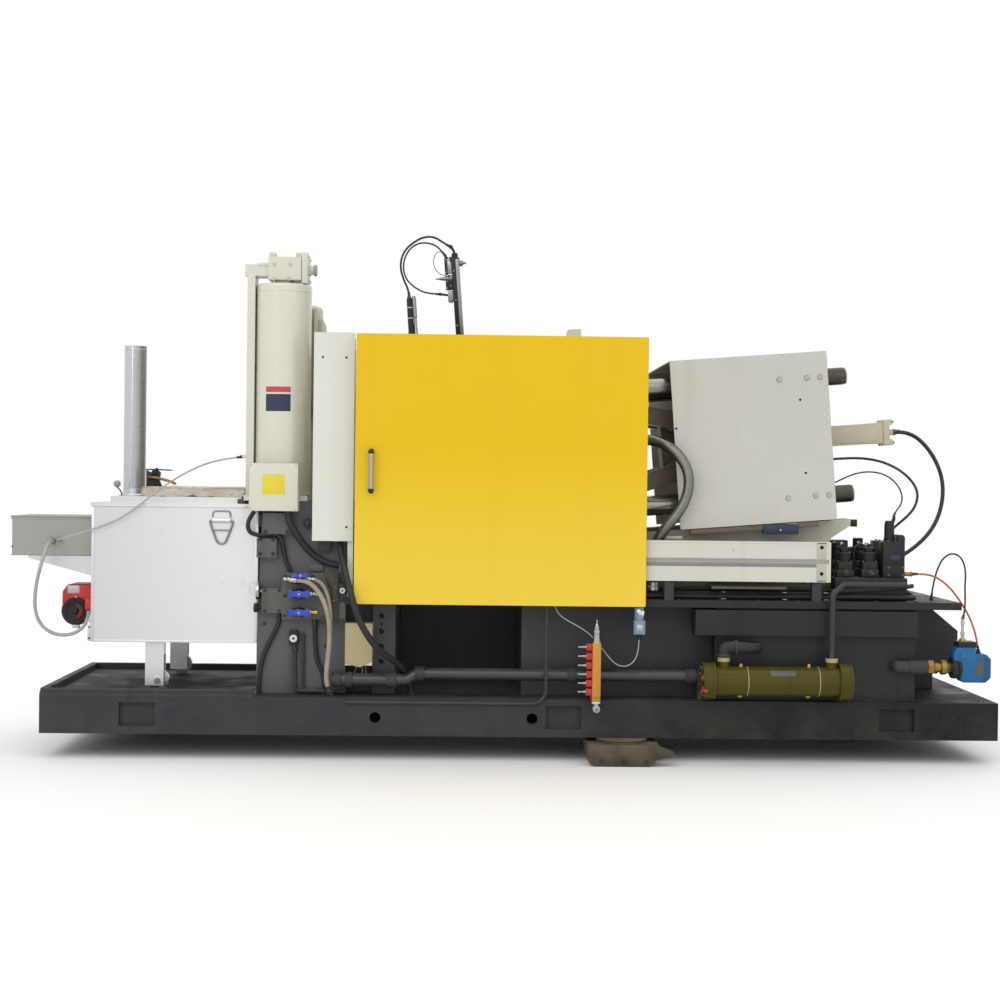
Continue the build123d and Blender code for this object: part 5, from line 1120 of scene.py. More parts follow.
lidTop = topOf("furnace", -1640, -150)
lidParts = [
    (prism([(-1673, lidTop), (-1600, lidTop), (-1600, lidTop + 46), (-1612, lidTop + 78),
        (-1606, lidTop + 112), (-1622, lidTop + 124), (-1650, lidTop + 112), (-1673, lidTop + 122)], -160,
        -130, 3), black),
    (rod((-1633, -168, lidTop + 112), (0, 1, 0), 46, 13, 2), black),
    (pipe([(-1676, -150, lidTop + 124), (-1650, -150, lidTop + 126), (-1600, -150, lidTop + 125),
        (-1553, -150, lidTop + 123)], 3.2), darkSteel),
    (rod((-1622, -166, lidTop + 122), toTop, 12, 6, 1), darkSteel),
    (pipe([(-1664, -178, lidTop + 92), (-1630, -178, lidTop + 88), (-1590, -178, lidTop + 80),
        (-1545, -178, lidTop + 68), (-1530, -178, lidTop + 58)], 6.5), rodBrown),
    (block((-1668, -184, lidTop + 80), (-1640, -158, lidTop + 104), 3), black),
    (block((-1690, -172, lidTop), (-1585, -118, lidTop + 8), 2), darkSteel),
    (pipe([(-1797, -100, lidTop - 2), (-1797, -100, lidTop + 10), (-1806, -100, lidTop + 28),
        (-1818, -100, lidTop + 40), (-1826, -100, lidTop + 46)], 3.4), darkSteel),
    (solid((-1834, -100, lidTop + 52), (0.9, 0, 0.25),
        [(0, 8), (3, 13), (9, 16), (20, 16), (28, 12), (31, 6)], 24), beige),
    (block((-1213, -396, 1144.2), (-1166, -350, 1166), 3), darkSteel),
    (block((-1206, -402, 1128), (-1174, -396, 1160), 2), darkSteel),
    (rod((-1190, -372, 1166), toTop, 10, 8, 1, 6), darkSteel),
]
makePiece("lidFittings", lidParts)
screws("lidBracketScrews", [(x, -160.2, z) for x, z in ((-1660, lidTop + 24), (-1614, lidTop + 24),
    (-1658, lidTop + 98))], (5.5, 4), (2.8, 2.4), darkSteel)

flueCollar = [
    (turned((-1756.8, 0, lidTop), toTop, [(0, 52.2), (0, 78), (2.5, 78), (3, 60), (9, 54.5), (34, 54.2),
        (35, 52.4), (35, 52.2)], 48), galvanised),
    (turned((-1756.8, 0, 1868), toTop, [(0, 52.1), (0, 53.4), (2, 54), (4, 53.4), (4, 52.1)], 48),
        galvanised),
]
makePiece("flueCollar", flueCollar, angle=25)
makePiece("flueSeam", [(block((-1764, -53.4, 1208), (-1758, -51.2, 1886), 0.7), galvanised)])

handleBox = [corner * 1000 for corner in map(Vector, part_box("furnace_handle"))]
ring = {
    "x": (handleBox[0].x + handleBox[1].x) / 2, "y": (handleBox[0].y + handleBox[1].y) / 2, "wire": 4.6,
    "round": 25, "top": handleBox[1].z - 4.5, "half": (handleBox[1].x - handleBox[0].x) / 2 - 4.6,
    "tip": handleBox[0].z + 4.6}
ringX, ringY, ringTop, ringHalf = ring["x"], ring["y"], ring["top"], ring["half"]
ringCentre = ring["tip"] + ring["round"]
arc = [(ringX + b, ringY, ringCentre - a) for a, b in (around(ring["round"], t) for t in range(60, -61, -12))]
ringPath = [(ringX - ringHalf, ringY, ringTop), (ringX + ringHalf, ringY, ringTop),
    (ringX + ringHalf + 1, ringY, ringTop - 14)]
ringPath += arc + [(ringX - ringHalf - 1, ringY, ringTop - 14), (ringX - ringHalf, ringY, ringTop)]
crossZ = ringTop - 0.42 * (ringTop - ring["tip"])
crossHalf = ringHalf * 0.8
ringPiece = makePiece("handleRing", [
    (pipe(ringPath, ring["wire"], 14), dullSilver),
    (pipe([(ringX - crossHalf, ringY, crossZ), (ringX + crossHalf, ringY, crossZ)], 3.4, 12), dullSilver)],
    body="drop_handle")
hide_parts("furnace_handle")
loopTop, loopHalf, loopSide = ringTop + 42, 40, ringY + 7
loopPath = [
    (ringX - loopHalf, loopSide, ringTop + 16), (ringX - loopHalf, loopSide, loopTop - 12),
    (ringX - loopHalf + 4, loopSide, loopTop - 3), (ringX - loopHalf + 13, loopSide, loopTop),
    (ringX + loopHalf - 13, loopSide, loopTop), (ringX + loopHalf - 4, loopSide, loopTop - 3),
    (ringX + loopHalf, loopSide, loopTop - 12), (ringX + loopHalf, loopSide, ringTop + 16)]
makePiece("handleLoop", [(pipe(loopPath, 4.2, 12), dullSilver)])
axle = {"x": -1573.6, "z": 330}
axleSpots = [(axle["x"], frontOf("furnace_legs", axle["x"] - 16, axle["z"] + 20) - 0.3, axle["z"])]
screws("legAxleBolts", axleSpots, (13, 8), (2, 1), dullSilver, sides=6)
screws("legAxleWashers", axleSpots, (18, 2.4), (13, 1), galvanised, sides=28)

blanket = {"low": (-1684.8, -280, 1172.4), "high": (-1184.8, 280, 1224.3), "cuts": 54, "tuftLength": 9.0,
    "seed": 11}


def makeBlanketTree():
    # torn fibre tufts scattered on the edges of the blanket
    tree, given, end = geometryTree("blanketTufts", {"Density": 4000.0, "Length": 0.008, "Seed": 2})
    normal = addNode(tree, "GeometryNodeInputNormal")
    split = addNode(tree, "ShaderNodeSeparateXYZ", {0: normal.outputs[0]})
    steep = addNode(tree, "ShaderNodeMath", {0: split.outputs["Z"]}, operation="ABSOLUTE")
    flat = addNode(tree, "ShaderNodeMath", {0: steep.outputs[0], 1: 0.75}, operation="LESS_THAN")
    scatter = addNode(tree, "GeometryNodeDistributePointsOnFaces", {
        "Mesh": given["Geometry"], "Selection": flat.outputs[0], "Density": given["Density"],
        "Seed": given["Seed"]}, distribute_method="RANDOM")
    tuft = addNode(tree, "GeometryNodeMeshCone", {
        "Vertices": 5, "Radius Bottom": 0.0022, "Radius Top": 0.0003, "Depth": given["Length"]})
    chance = randomValue(tree, given, "FLOAT_VECTOR", low=(0, (-0.9, -0.9, -0.9)), high=(1, (0.9, 0.9, 0.9)))
    tilt = addNode(tree, "FunctionNodeEulerToRotation", {0: chance[0]})
    lean = addNode(tree, "FunctionNodeRotateRotation", {
        "Rotation": scatter.outputs["Rotation"], "Rotate By": tilt.outputs[0]}, rotation_space="LOCAL")
    copies = addNode(tree, "GeometryNodeInstanceOnPoints", {
        "Points": scatter.outputs["Points"], "Instance": tuft.outputs["Mesh"], "Rotation": lean.outputs[0],
        "Scale": randomValue(tree, given, low=(2, 0.4), high=(3, 1.2))[1]})
    both = addNode(tree, "GeometryNodeJoinGeometry", {0: copies.outputs[0]})
    feed(tree, both, {0: given["Geometry"]})
    return endTree(tree, both.outputs[0], given, end)


def makeBlanket():
    # a thick fibre mat: wavy top, torn sides, set inside the space of its solid
    low, high = Vector(blanket["low"]) / 1000, Vector(blanket["high"]) / 1000
    build = bmesh.new()
    bmesh.ops.create_cube(build, size=1.0,
        matrix=Matrix.Translation((low + high) / 2) @ Matrix.Diagonal((*(high - low), 1.0)))
    long = [e for e in build.edges if e.calc_length() > 0.1]
    bmesh.ops.subdivide_edges(build, edges=long, cuts=blanket["cuts"], use_grid_fill=True)
    upright = [e for e in build.edges if abs(e.verts[0].co.z - e.verts[1].co.z) > 0.03]
    bmesh.ops.subdivide_edges(build, edges=upright, cuts=6, use_grid_fill=True)
    size = high - low
    for vertex in build.verts:
        p = vertex.co.copy()
        u, v, h = (p.x - low.x) / size.x, (p.y - low.y) / size.y, (p.z - low.z) / size.z
        wide = noise.noise(p * 9) * 0.5 + 0.5
        fine = noise.noise(p * 55 + Vector((3, 1, 2))) * 0.5 + 0.5
        shred = noise.noise(Vector((p.x * 38, p.y * 38, h * 2.4))) * 0.5 + 0.5
        rim = min(u, 1 - u) * size.x
        side = min(v, 1 - v) * size.y
        if side < 0.002:
            vertex.co.y += math.copysign(0.003 + 0.02 * shred * (0.4 + 0.6 * h) + 0.006 * fine, -p.y)
        if rim < 0.002:
            vertex.co.x += math.copysign(0.003 + 0.018 * shred + 0.006 * fine, (low.x + high.x) / 2 - p.x)
        near = max(0.0, 1 - min(rim, side) / 0.05)
        vertex.co.z -= h * (0.010 * wide + 0.004 * fine + 0.010 * near * near * wide)
        if h < 0.2 and min(rim, side) < 0.03:
            lift = max(0.0, noise.noise(Vector((p.x * 24, p.y * 24, 5.1))))
            vertex.co.z += 0.016 * lift * (1 - h * 5) * near
    mesh = bpy.data.meshes.new("blanketCore")
    build.to_mesh(mesh)
    build.free()
    mesh.shade_smooth()
    return mesh


tufts = {"Density": 5200.0, "Length": blanket["tuftLength"] / 1000, "Seed": blanket["seed"],
    "Finish": finishes["blanket"]}
blanketPiece = grow("fibreBlanket", makeBlanket(), makeBlanketTree(), tufts)
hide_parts("furnace_blanket")
print("stage: furnace dressed,", len(blanketPiece.data.polygons), "blanket faces")

# burner and control box

burnerBox = [corner * 1000 for corner in map(Vector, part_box("burner"))]
burnerFace = frontOf("burner", -1895, 740)
burnerSize = {
    "right": burnerBox[1].x, "top": burnerBox[1].z, "long": 165, "deep": 200, "dial": (-99, -122),
    "round": 66}
burnerRight, burnerTop = burnerSize["right"], burnerSize["top"]
burnerLeft = burnerRight - burnerSize["long"]
burnerLow = burnerTop - 150
dial = {"place": (burnerRight + burnerSize["dial"][0], burnerFace, burnerTop + burnerSize["dial"][1]),
    "vanes": 9}
dialX, dialY, dialZ = dial["place"]
belly = [(dialX + a, dialZ + b) for a, b in (around(burnerSize["round"], t) for t in range(-50, -181, -10))]
bodyLine = [(burnerLeft + 24, burnerTop), (burnerRight, burnerTop), (burnerRight, burnerLow - 6)]
bodyLine += belly + [(burnerLeft, burnerTop - 32)]
burnerParts = [
    (prism(bodyLine, burnerFace, burnerFace + burnerSize["deep"], 4), red),
    (turned(dial["place"], toFront, [(-1, 60), (-1, 67.5), (12, 67.5), (14, 66.5), (14, 63.5), (12, 62.5),
        (0, 62.5)], 48), red),
    (solid(dial["place"], toFront, [(0, 61.5), (21, 61.5), (23, 62), (25, 60), (26, 52), (24, 47), (24, 42),
        (26, 40), (26, 38), (24, 37), (23.2, 17), (28, 15), (33, 12), (35, 9)], 48), black),
    (block((burnerRight - 34, burnerFace - 120, burnerLow + 42),
        (burnerRight, burnerFace + 1, burnerLow + 92), 4), red),
    (block((burnerRight - 30, burnerFace - 34, burnerLow - 2),
        (burnerRight - 3, burnerFace + 1, burnerLow + 38), 4), red),
    (block((burnerRight - 140, burnerFace - 0.8, burnerLow + 109),
        (burnerRight - 86, burnerFace, burnerLow + 145), 0.3), plateSilver),
    (solid((-1882, burnerFace, 720), toFront, [(0, 12), (6, 12), (8, 10)], 6), plated),
    (block((burnerLeft + 1, burnerFace - 1.5, burnerLow + 40),
        (burnerLeft + 8, burnerFace + 1, burnerTop - 38), 0.7), red),
    (block((dialX - 16, burnerFace - 22, dialZ - 80), (dialX + 16, burnerFace + 8, dialZ - 64), 2),
        whiteNylon),
]
for i in range(dial["vanes"]):
    angle = -68 + 136 * i / (dial["vanes"] - 1)
    vane = spun(block((dialX + 20, dialY - 27.6, dialZ - 1.8), (dialX + 36, dialY - 23, dialZ + 1.8), 0.6),
        dial["place"], (0, 1, 0), angle)
    burnerParts.append((vane, red))
for i in range(24):
    burnerParts.append((spun(block((dialX + 42, dialY - 26.4, dialZ - 1.2),
        (dialX + 54, dialY - 24.4, dialZ + 1.2), 0.4), dial["place"], (0, 1, 0), 15 * i), black))
burnerPiece = makePiece("burnerBody", burnerParts)
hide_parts("burner")
screws("burnerScrews", [(dialX, dialY - 13.8, dialZ + side * 64.5) for side in (-1, 1)], (4.5, 3), (2.4, 2),
    whiteNylon)

boxFace = frontOf("control_box", -2150, 980)
boxTop = topOf("control_box", -2150, -200)
controlParts = [
    (block((-2256.5, boxFace - 1.4, boxTop - 16), (-1874, boxFace, boxTop - 1), 0.6), boxGrey),
    (block((-2256.5, boxFace - 0.8, 895.5), (-1874, boxFace, 899.5), 0.4), boxGrey),
    (ringOf((-2066, boxFace, 962), toFront, 8.2, 15, 5, 6), black),
    (ringOf((-2034, boxFace, 968), toFront, 4.2, 9, 4, 6), black),
]
for x in (-2150, -2010):
    controlParts.append((solid((x, -250, boxTop), toTop, [(-1, 10), (1, 10), (2.5, 6)], 20), boxGrey))
makePiece("controlBoxSeams", controlParts)
screws("controlBoxScrews", [(-2250, boxFace - 0.2, 935), (-1884, boxFace - 0.2, 935)], (4, 2), (2, 1.5),
    darkSteel)
print("stage: burner and control box dressed")

# stand: ball valves, gauge, knob, sight rings, rigid pipes and plates

ballValves = {"plate": -470.3, "x": -916, "y": -502, "rows": [
    {"z": 807, "handle": (-940, -876, 814, 838), "left": -988, "right": -846, "leftFinish": "plated",
        "rightFinish": "plated"},
    {"z": 743, "handle": (-962, -866, 725, 761), "left": -968, "right": -830, "leftFinish": "black",
        "rightFinish": "plated"},
    {"z": 659, "handle": (-962, -866, 641, 677), "left": -968, "right": -832, "leftFinish": "black",
        "rightFinish": "brass"}]}
valveFinish = {"plated": plated, "black": black, "brass": brass}
valveParts = []
for row in ballValves["rows"]:
    x, y, z = ballValves["x"], ballValves["y"], row["z"]
    valveParts += [
        (solid((x - 34, y, z), toRight, [(0, 15), (4, 17), (14, 17), (18, 19), (26, 22), (34, 23), (42, 22),
            (50, 19), (54, 17), (64, 17), (68, 15)], 24), darkSteel),
        (solid((x - 36, y, z), toRight, [(0, 17), (2, 19), (11, 19), (13, 17)], 6),
            valveFinish[row["leftFinish"]]),
        (solid((x + 23, y, z), toRight, [(0, 17), (2, 19), (11, 19), (13, 17)], 6),
            valveFinish[row["rightFinish"]]),
    ]
    for side, reach, finish in ((-1, row["left"], row["leftFinish"]), (1, row["right"], row["rightFinish"])):
        length = abs(reach - x) - 34
        valveParts.append((solid((x + side * 34, y, z), (side, 0, 0),
            [(0, 9), (3, 9), (3, 13), (length * 0.45, 13), (length * 0.5, 9), (length - 14, 9),
                (length - 13, 12), (length - 2, 12), (length, 10)], 18), valveFinish[finish]))
    valveParts += [
        (rod((x, ballValves["plate"], z), toFront, 20, 13, 1, 20), darkSteel),
        (rod((x, -518, z + (6 if z > 800 else 0)), toFront, 20, 8, 1, 16), plated),
    ]
    left, right, low, high = row["handle"]
    middle = (left + right) / 2
    grip = [(left, 4), (left + 5, 0), (left + 16, 1), (left + 24, 6), (middle - 10, 5), (middle, -1)]
    grip += [(left + right - a, b) for a, b in reversed(grip[:-1])]
    wing = [(a, low + b) for a, b in grip] + [(a, high - b) for a, b in reversed(grip)]
    valveParts += [
        (prism(wing, -543.5, -531, 2.2), blue),
        (block((left + 3, -546, low + 5), (left + 14, -543, high - 5), 1.4), blue),
        (block((right - 14, -546, low + 5), (right - 3, -543, high - 5), 1.4), blue),
        (rod(((left + right) / 2, -543, (low + high) / 2), toFront, 4.5, 7, 1.2, 6), plated),
    ]
valveParts += [
    (solid((-958, -530, 805), toRight, [(0, 11), (3, 13), (12, 13), (14, 14.5), (32, 14.5), (34, 12)], 20),
        plated),
    (rod((-950, -496, 806), toFront, 34, 9, 1, 16), plated),
]
ballValvePiece = makePiece("ballValves", valveParts)
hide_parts("water_valves")

gauge = {"place": (-1089.5, -450, 750)}
gaugeParts = [
    (solid(gauge["place"], toLeft, [(-2, 9), (3, 9), (3, 6), (7, 6), (7, 14), (9, 34), (12, 40), (24, 41),
        (26, 40), (26, 36), (23, 34.5)], 40), plated),
    (rod((-1110.5, -450, 750), toLeft, 3.2, 34, 0.4, 40), whiteNylon),
    (turned((-1066, -450, 750), toLeft, [(0, 0), (0, 9), (23, 9), (23.5, 0)], 6), brass),
    (turned((-1089.5, -450, 674), toLeft, [(-2, 0), (-2, 7), (18, 7), (20, 19), (24, 21.5), (33, 21.5),
        (37, 18), (38, 0)], 24), black),
    (pipe([(-1116, -450, 786), (-1119, -450, 789), (-1142, -450, 788), (-1147, -450, 784), (-1146, -450, 744),
        (-1143, -450, 736), (-1126, -450, 735), (-1116, -450, 740)], 1.4, 8), galvanised),
]
makePiece("pressureGauge", gaugeParts)

ringParts = [
    (block((-966, -452, 506), (-922, -430.2, 572), 4), black),
    (rod((-944, -451, 537), toFront, 16, 14, 1), black),
    (ringOf((-944, -464, 537), toFront, 5.5, 17, 5), whiteNylon),
    (rod((-944, -462, 537), toFront, 5, 6, 0.5), holeBlack),
    (rod((-939, -446, 476), toTop, 20, 14, 1.5, 20), casting),
    (pipe([(-939, -446, 500), (-939, -446, 440), (-938.5, -446, 380), (-938, -446, 330), (-937, -446, 303),
        (-928, -446, 297), (-880, -446, 296), (-800, -446, 296), (-712, -446, 296)], 9), casting),
    (ringOf((-724, -470.5, 757), toFront, 4.5, 13, 5), whiteNylon),
    (rod((-724, -470.3, 757), toFront, 3, 5, 0.5), holeBlack),
    (block((-742, -470.5, 700), (-712, -430.3, 790), 3), casting),
    (pipe([(-902, -443, 560), (-902, -443, 436), (-901.5, -443, 380), (-901, -443, 322), (-896, -443, 306),
        (-868, -443, 302), (-800, -443, 312)], 7), casting),
    (rod((-902, -443, 436), toTop, 18, 11, 1.5, 6), casting),
    (pipe([(-849, -442, 625), (-849, -442, 583), (-847, -442, 520), (-843, -442, 460), (-832, -442, 420),
        (-815, -442, 387), (-806, -442, 350), (-804, -442, 300), (-804, -442, 281)], 10), rubber),
    (rod((-849, -442, 596), toTop, 26, 13, 1.5, 6), darkSteel),
    (block((-879, -440, 841), (-815, -430.2, 872), 1.5), agedGrey),
    (prism([(-812, 834), (-742, 834), (-738, 700), (-741, 620), (-760, 612), (-818, 606), (-826, 622),
        (-816, 640), (-776, 648), (-778, 760), (-800, 800)], -474.5, -470.5, 0.8), darkSteel),
    (block((-1110, -437, 1040), (-985, -430.2, 1100), 4), casting),
    (rod((-1062, -436, 1072), toFront, 20, 17, 2), casting),
    (rod((-1022, -436, 1072), toFront, 14, 13, 2), darkSteel),
    (rod((-888, -431, 1060), toFront, 20, 22, 2), casting),
    (rod((-888, -445, 1060), toFront, 12, 12, 2, 6), darkSteel),
    (block((-840, -462, 930), (-778, -430.2, 1076), 5), casting),
    (rod((-809, -448, 1076), toTop, 42, 18, 2), darkSteel),
]
standLoop = [(-1128, -450, 1112), (-1146, -456, 1088), (-1158, -460, 1052), (-1150, -462, 1018),
    (-1118, -462, 1004), (-1072, -459, 1006), (-1040, -455, 1012), (-1012, -451, 1000), (-996, -447, 962),
    (-990, -444, 900), (-975, -442, 866), (-962, -440, 842)]
ringParts.append((pipe(standLoop, 10, 18), rubber))
innerLoop = [(-1090, -448, 1112), (-1100, -456, 1078), (-1086, -459, 1044), (-1052, -458, 1026),
    (-1010, -450, 1030), (-975, -446, 1046), (-940, -444, 1040)]
ringParts.append((pipe(innerLoop, 7.5, 16), rubber))
secondHose = [(-848, -502, 807), (-828, -506, 800), (-806, -512, 780), (-789, -519, 744), (-778, -524, 700),
    (-772, -524, 650), (-773, -519, 600), (-775, -516, 555), (-778, -511, 498), (-784, -505, 440),
    (-790, -498, 385), (-788, -491, 338), (-778, -486, 300)]
ringParts.append((pipe(secondHose, 9, 18), beige))
makePiece("standPipes", ringParts)
plateSpots = [(-985, 822), (-985, 730), (-985, 640), (-860, 822), (-760, 700), (-1075, 755), (-1010, 755),
    (-1075, 662), (-1010, 662)]
screws("valvePlateScrews", [(x, frontOf("valve_plate", x, z) - 0.2, z) for x, z in plateSpots], (6.5, 5),
    (3.2, 3.2), darkSteel)
standSpots = [(-1098, 920), (-1040, 920), (-1098, 985), (-1040, 985), (-1075, 1020), (-975, 1020),
    (-800, 500), (-800, 350), (-1080, 600), (-1090, 1120), (-740, 1120)]
screws("standScrews", [(x, frontOf("injection_stand", x, z) - 0.2, z) for x, z in standSpots], (8, 6), (4, 4),
    darkSteel)

# bed: pipe sockets, holes in the column, short wires, weld beads, plates

pipeSockets = {"tall": [(-764, 40), (-706, 34), (-520, 46)], "slim": [(-392, 44), (300, 40), (838, 50)]}
socketParts = []
for x, length in pipeSockets["tall"]:
    socketParts.append((solid((x, -480, 354), toRight, [(0, 33), (2, 35.5), (length - 2, 35.5), (length, 33)],
        36), casting))
for x, length in pipeSockets["slim"]:
    socketParts.append((solid((x, -480, 384), toRight, [(0, 30), (2, 32.5), (length - 2, 32.5), (length, 30)],
        36), casting))
for x, lean in ((-657, -8), (-634, 4), (-620, 6)):
    socketParts.append((pipe([(x, -432, 424), (x, -432, 412), (x + lean * 0.4, -437, 400),
        (x + lean, -446, 388), (x + lean * 1.3, -452, 378)], 2.2, 8), beige))
makePiece("pipeSockets", socketParts)
screws("columnHoles", [(-547, frontOf("bed_castings", -547, z) - 0.3, z) for z in (637, 567, 497, 429)],
    (11, 1.2), (8.5, 1.1), holeBlack, sides=20)
screws("columnSmallHole", [(-547, frontOf("bed_castings", -547, 601) - 0.3, 601)], (6.5, 1.2), (4.5, 1.1),
    holeBlack, sides=16)
terminalFace = frontOf("wiring_boxes", -630, 500)
terminalParts = [
    (prism([(-707.4, 428), (-707.4, 609.6), (-585.6, 609.6), (-585.6, 440), (-616, 423), (-640, 412)],
        terminalFace - 3, terminalFace, 1), agedCream),
    (block((-708, terminalFace - 4, 606), (-585, terminalFace + 12, 611.5), 1), agedCream),
    (block((-708.4, terminalFace - 3.6, 430), (-704, terminalFace + 60, 610), 1), agedCream),
]
makePiece("terminalLid", terminalParts)
beads = {"width": 8, "height": 281.5}
beadZ = beads["height"]
weldLines = [
    [(-1112, -431, beadZ), (-711, -431, beadZ)], [(-1112, 431, beadZ), (-711, 431, beadZ)],
    [(976, -501, beadZ), (1885, -501, beadZ)], [(976, 501, beadZ), (1885, 501, beadZ)],
    [(110, -401, beadZ), (970, -401, beadZ)], [(-480, -401, beadZ), (-700, -401, beadZ)],
    [(-2060, -548, 303), (-1700, -548, 303), (-1120, -548, 303)], [(974.5, -501, 282), (974.5, -501, 560)],
]
weld("frameWelds", weldLines, beads["width"], casting)
deck = {"top": 735, "slack": 3, "above": 790}
deckScrews = []
for x, y in [(x, y) for x in range(-640, 2060, 180) for y in (-528, 528)]:
    z = topOf("deck_plates", x, y, deck["above"])
    if abs(z - deck["top"]) < deck["slack"]:
        deckScrews.append((x, y, z - 0.3, toTop))
screws("deckScrews", deckScrews, (9, 5), (4.5, 3.5), darkSteel)

# water manifold, rebuilt with its own six valves, barbs and fittings

manifold = {"x": 424.5, "y": -592, "rows": (523, 482, 441, 401, 361, 322)}
manifoldX, manifoldY = manifold["x"], manifold["y"]
manifoldParts = [
    (block((405.5, -610, 298), (443.5, -574, 542), 2.5), finishes["orange"]),
    (block((405.5, -600, 280.3), (443.5, -490, 298), 2), finishes["orange"]),
    (turned((manifoldX, manifoldY, 541), toTop, [(0, 0), (0, 18), (10, 18), (12, 16), (22, 16), (24, 14)], 6),
        whiteNylon),
    (solid((manifoldX, manifoldY, 560), toTop, [(0, 16), (20, 16), (21, 14), (23, 14), (24, 16), (42, 16),
        (44, 12.5), (58, 12.5), (60, 9), (66, 7.5), (70, 4), (86, 3.2)], 24), plated),
    (solid((manifoldX, manifoldY, 541), toTop, [(0, 17.5), (20, 17.5), (22, 15)], 24), plated),
    (rod((manifoldX, manifoldY, 250), toTop, 32, 12.5, 1.5), plated),
    (solid((manifoldX, -586, 248), toFront, [(-6, 14), (2, 17), (12, 17), (14, 14.5), (22, 14.5), (24, 17),
        (34, 17), (36, 15), (50, 15), (51, 13), (51, 8), (10, 8)], 28), plated),
    (ringOf((manifoldX, manifoldY, 270), toTop, 12, 19, 9), whiteNylon),
    (block((390, -604, 318), (405.5, -580, 338), 1.5), black),
]
for z in manifold["rows"]:
    manifoldParts += [
        (block((378, -605, z - 15), (405.8, -579, z + 15), 3), redValve),
        (rod((391, -604, z), toFront, 10, 10, 1.5, 20), redValve),
        (block((386, -618, z - 3), (396, -613, z + 12), 1.5), redValve),
        (turned((379, manifoldY, z), toLeft, [(0, 0), (0, 8), (5, 8), (6, 5.5), (12, 5.5), (12, 7), (15, 7),
            (16, 4.5), (24, 4.5), (26, 5.6), (29, 4.2), (31, 5.4), (34, 3.8), (37, 3.2), (38, 0)], 16),
            plated),
    ]
manifoldPiece = makePiece("manifoldValves", manifoldParts)
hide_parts("water_manifold")
screws("manifoldScrews", [(manifoldX, -610.2, z) for z in (522, 410, 318)], (4.5, 2.5), (2.2, 1.8), plated)

# oil cooler: bands, cap flanges, plugs, port rings and the rubber elbow

cooler = {"y": -600, "z": 378, "bands": (1100, 1421), "ports": (995.5, 1483.5)}
coolerY, coolerZ = cooler["y"], cooler["z"]
coolerParts = []
for x in cooler["bands"]:
    coolerParts.append((turned((x - 3, coolerY, coolerZ), toRight,
        [(0.8, 60), (0.8, 66.8), (1.4, 67.4), (4.2, 67.4), (4.8, 66.8), (4.8, 60)], 64), bandOlive))
for x, length, radius in ((940, 15, 84.5), (1512, 12, 84.5), (1556, 12, 83.8), (899, 10, 83)):
    coolerParts.append((turned((x, coolerY, coolerZ), toRight,
        [(0, 60), (0, radius - 1.5), (1.5, radius), (length - 1.5, radius), (length, radius - 1.5),
            (length, 60)], 64), finishes["olive"]))
for y, z in ((-652, 396), (-652, 344)):
    coolerParts += [
        (solid((899, y, z), toLeft, [(-2, 12), (6, 12), (8, 10)], 6), redValve),
        (rod((906, y - 16, z), toFront, 8, 9, 1.5, 18), redValve),
    ]
for x in (1074, 1381):
    coolerParts += [
        (solid((x, coolerY, 442), toTop, [(0, 12), (6, 12), (7, 9), (13, 9), (15, 7)], 6), brass),
        (solid((x - 4, coolerY, 312), (0, 0, -1), [(-2, 11), (5, 11), (7, 8)], 6), bandOlive),
    ]
plateArc = [around(66.9, t) for t in range(26, 53, 3)] + [around(65.5, t) for t in range(50, 25, -3)]
coolerParts.append((prism([(coolerY - a, coolerZ + b) for a, b in plateArc], 1199, 1311, plane="YZ"),
    agedGrey))
for x in cooler["ports"]:
    coolerParts.append((turned((x, coolerY, 466), toTop,
        [(0, 20), (0, 27.5), (3, 28.5), (8, 28.5), (8, 26.8), (11, 26.8), (11, 28), (17, 28), (19, 25),
            (19, 0)], 36), agedCream))
coolerParts.append((solid((1483.5, -600, 484.4), toTop, [(0, 21), (12, 21), (14, 18), (28, 17), (30, 14)], 6),
    darkSteel))
elbow = [(995.5, -600, 484.6), (995.5, -600, 498), (995.5, -600, 510), (1000, -600, 524), (1018, -600, 527),
    (1048, -599, 528)]
coolerParts.append((pipe(elbow, 29, 28), rubber))
hoseLine = lineOf(routeCurve("pipeLine", [(1040, -599, 528), (1070, -598, 528), (1105, -592, 526),
    (1140, -576, 523), (1162, -548, 521), (1168, -520, 520), (1168, -502, 520)]))[0]
coolerParts += [
    (tube(hoseLine, [(27 - 8 * i / (len(hoseLine) - 1)) / 1000 for i in range(len(hoseLine))], 24), rubber),
    (turned((1044, -599, 528), toRight, [(0, 20), (0, 33.5), (12, 33.5), (12, 20)], 32), casting),
    (turned((995.5, -600, 488), toTop, [(0, 20), (0, 33.5), (12, 33.5), (12, 20)], 32), casting),
]
makePiece("coolerFittings", coolerParts, angle=30)
boltRing = [around(62, 45 * t + math.degrees(0.4)) for t in range(8)]
capBolts = [(x, coolerY + a, coolerZ + b, way) for x, way in ((898.8, toLeft), (1568.2, toRight))
    for a, b in boltRing]
screws("coolerCapBolts", capBolts, (8, 6), (1.5, 0.6), bareSteel, sides=6)

# limit switch: lid, gland and lever

switchParts = [
    (block((594, -600.5, 586), (639, -597.8, 642), 1.2), finishes["switch"]),
    (rod((616.5, -580, 583), (0, 0, -1), 22, 10.5, 1.5, 6), black),
    (rod((616.5, -580, 566), (0, 0, -1), 8, 6, 1, 18), black),
    (block((604, -599.6, 600), (629, -600.9, 626), 0.3), plateSilver),
    (prism([(606, 648), (626, 648), (634, 668), (638, 684), (628, 690), (618, 682), (608, 668)], -592, -584,
        2), whiteNylon),
    (rod((612, -590, 686), toFront, 9, 9.5, 1.5, 24), whiteNylon),
]
makePiece("limitSwitchFront", switchParts)
screws("limitSwitchScrews", [(x, -600.6, z) for x in (599, 634) for z in (591, 637)], (3, 1.8), (1.5, 1.2),
    plated)
print("stage: water circuit dressed")

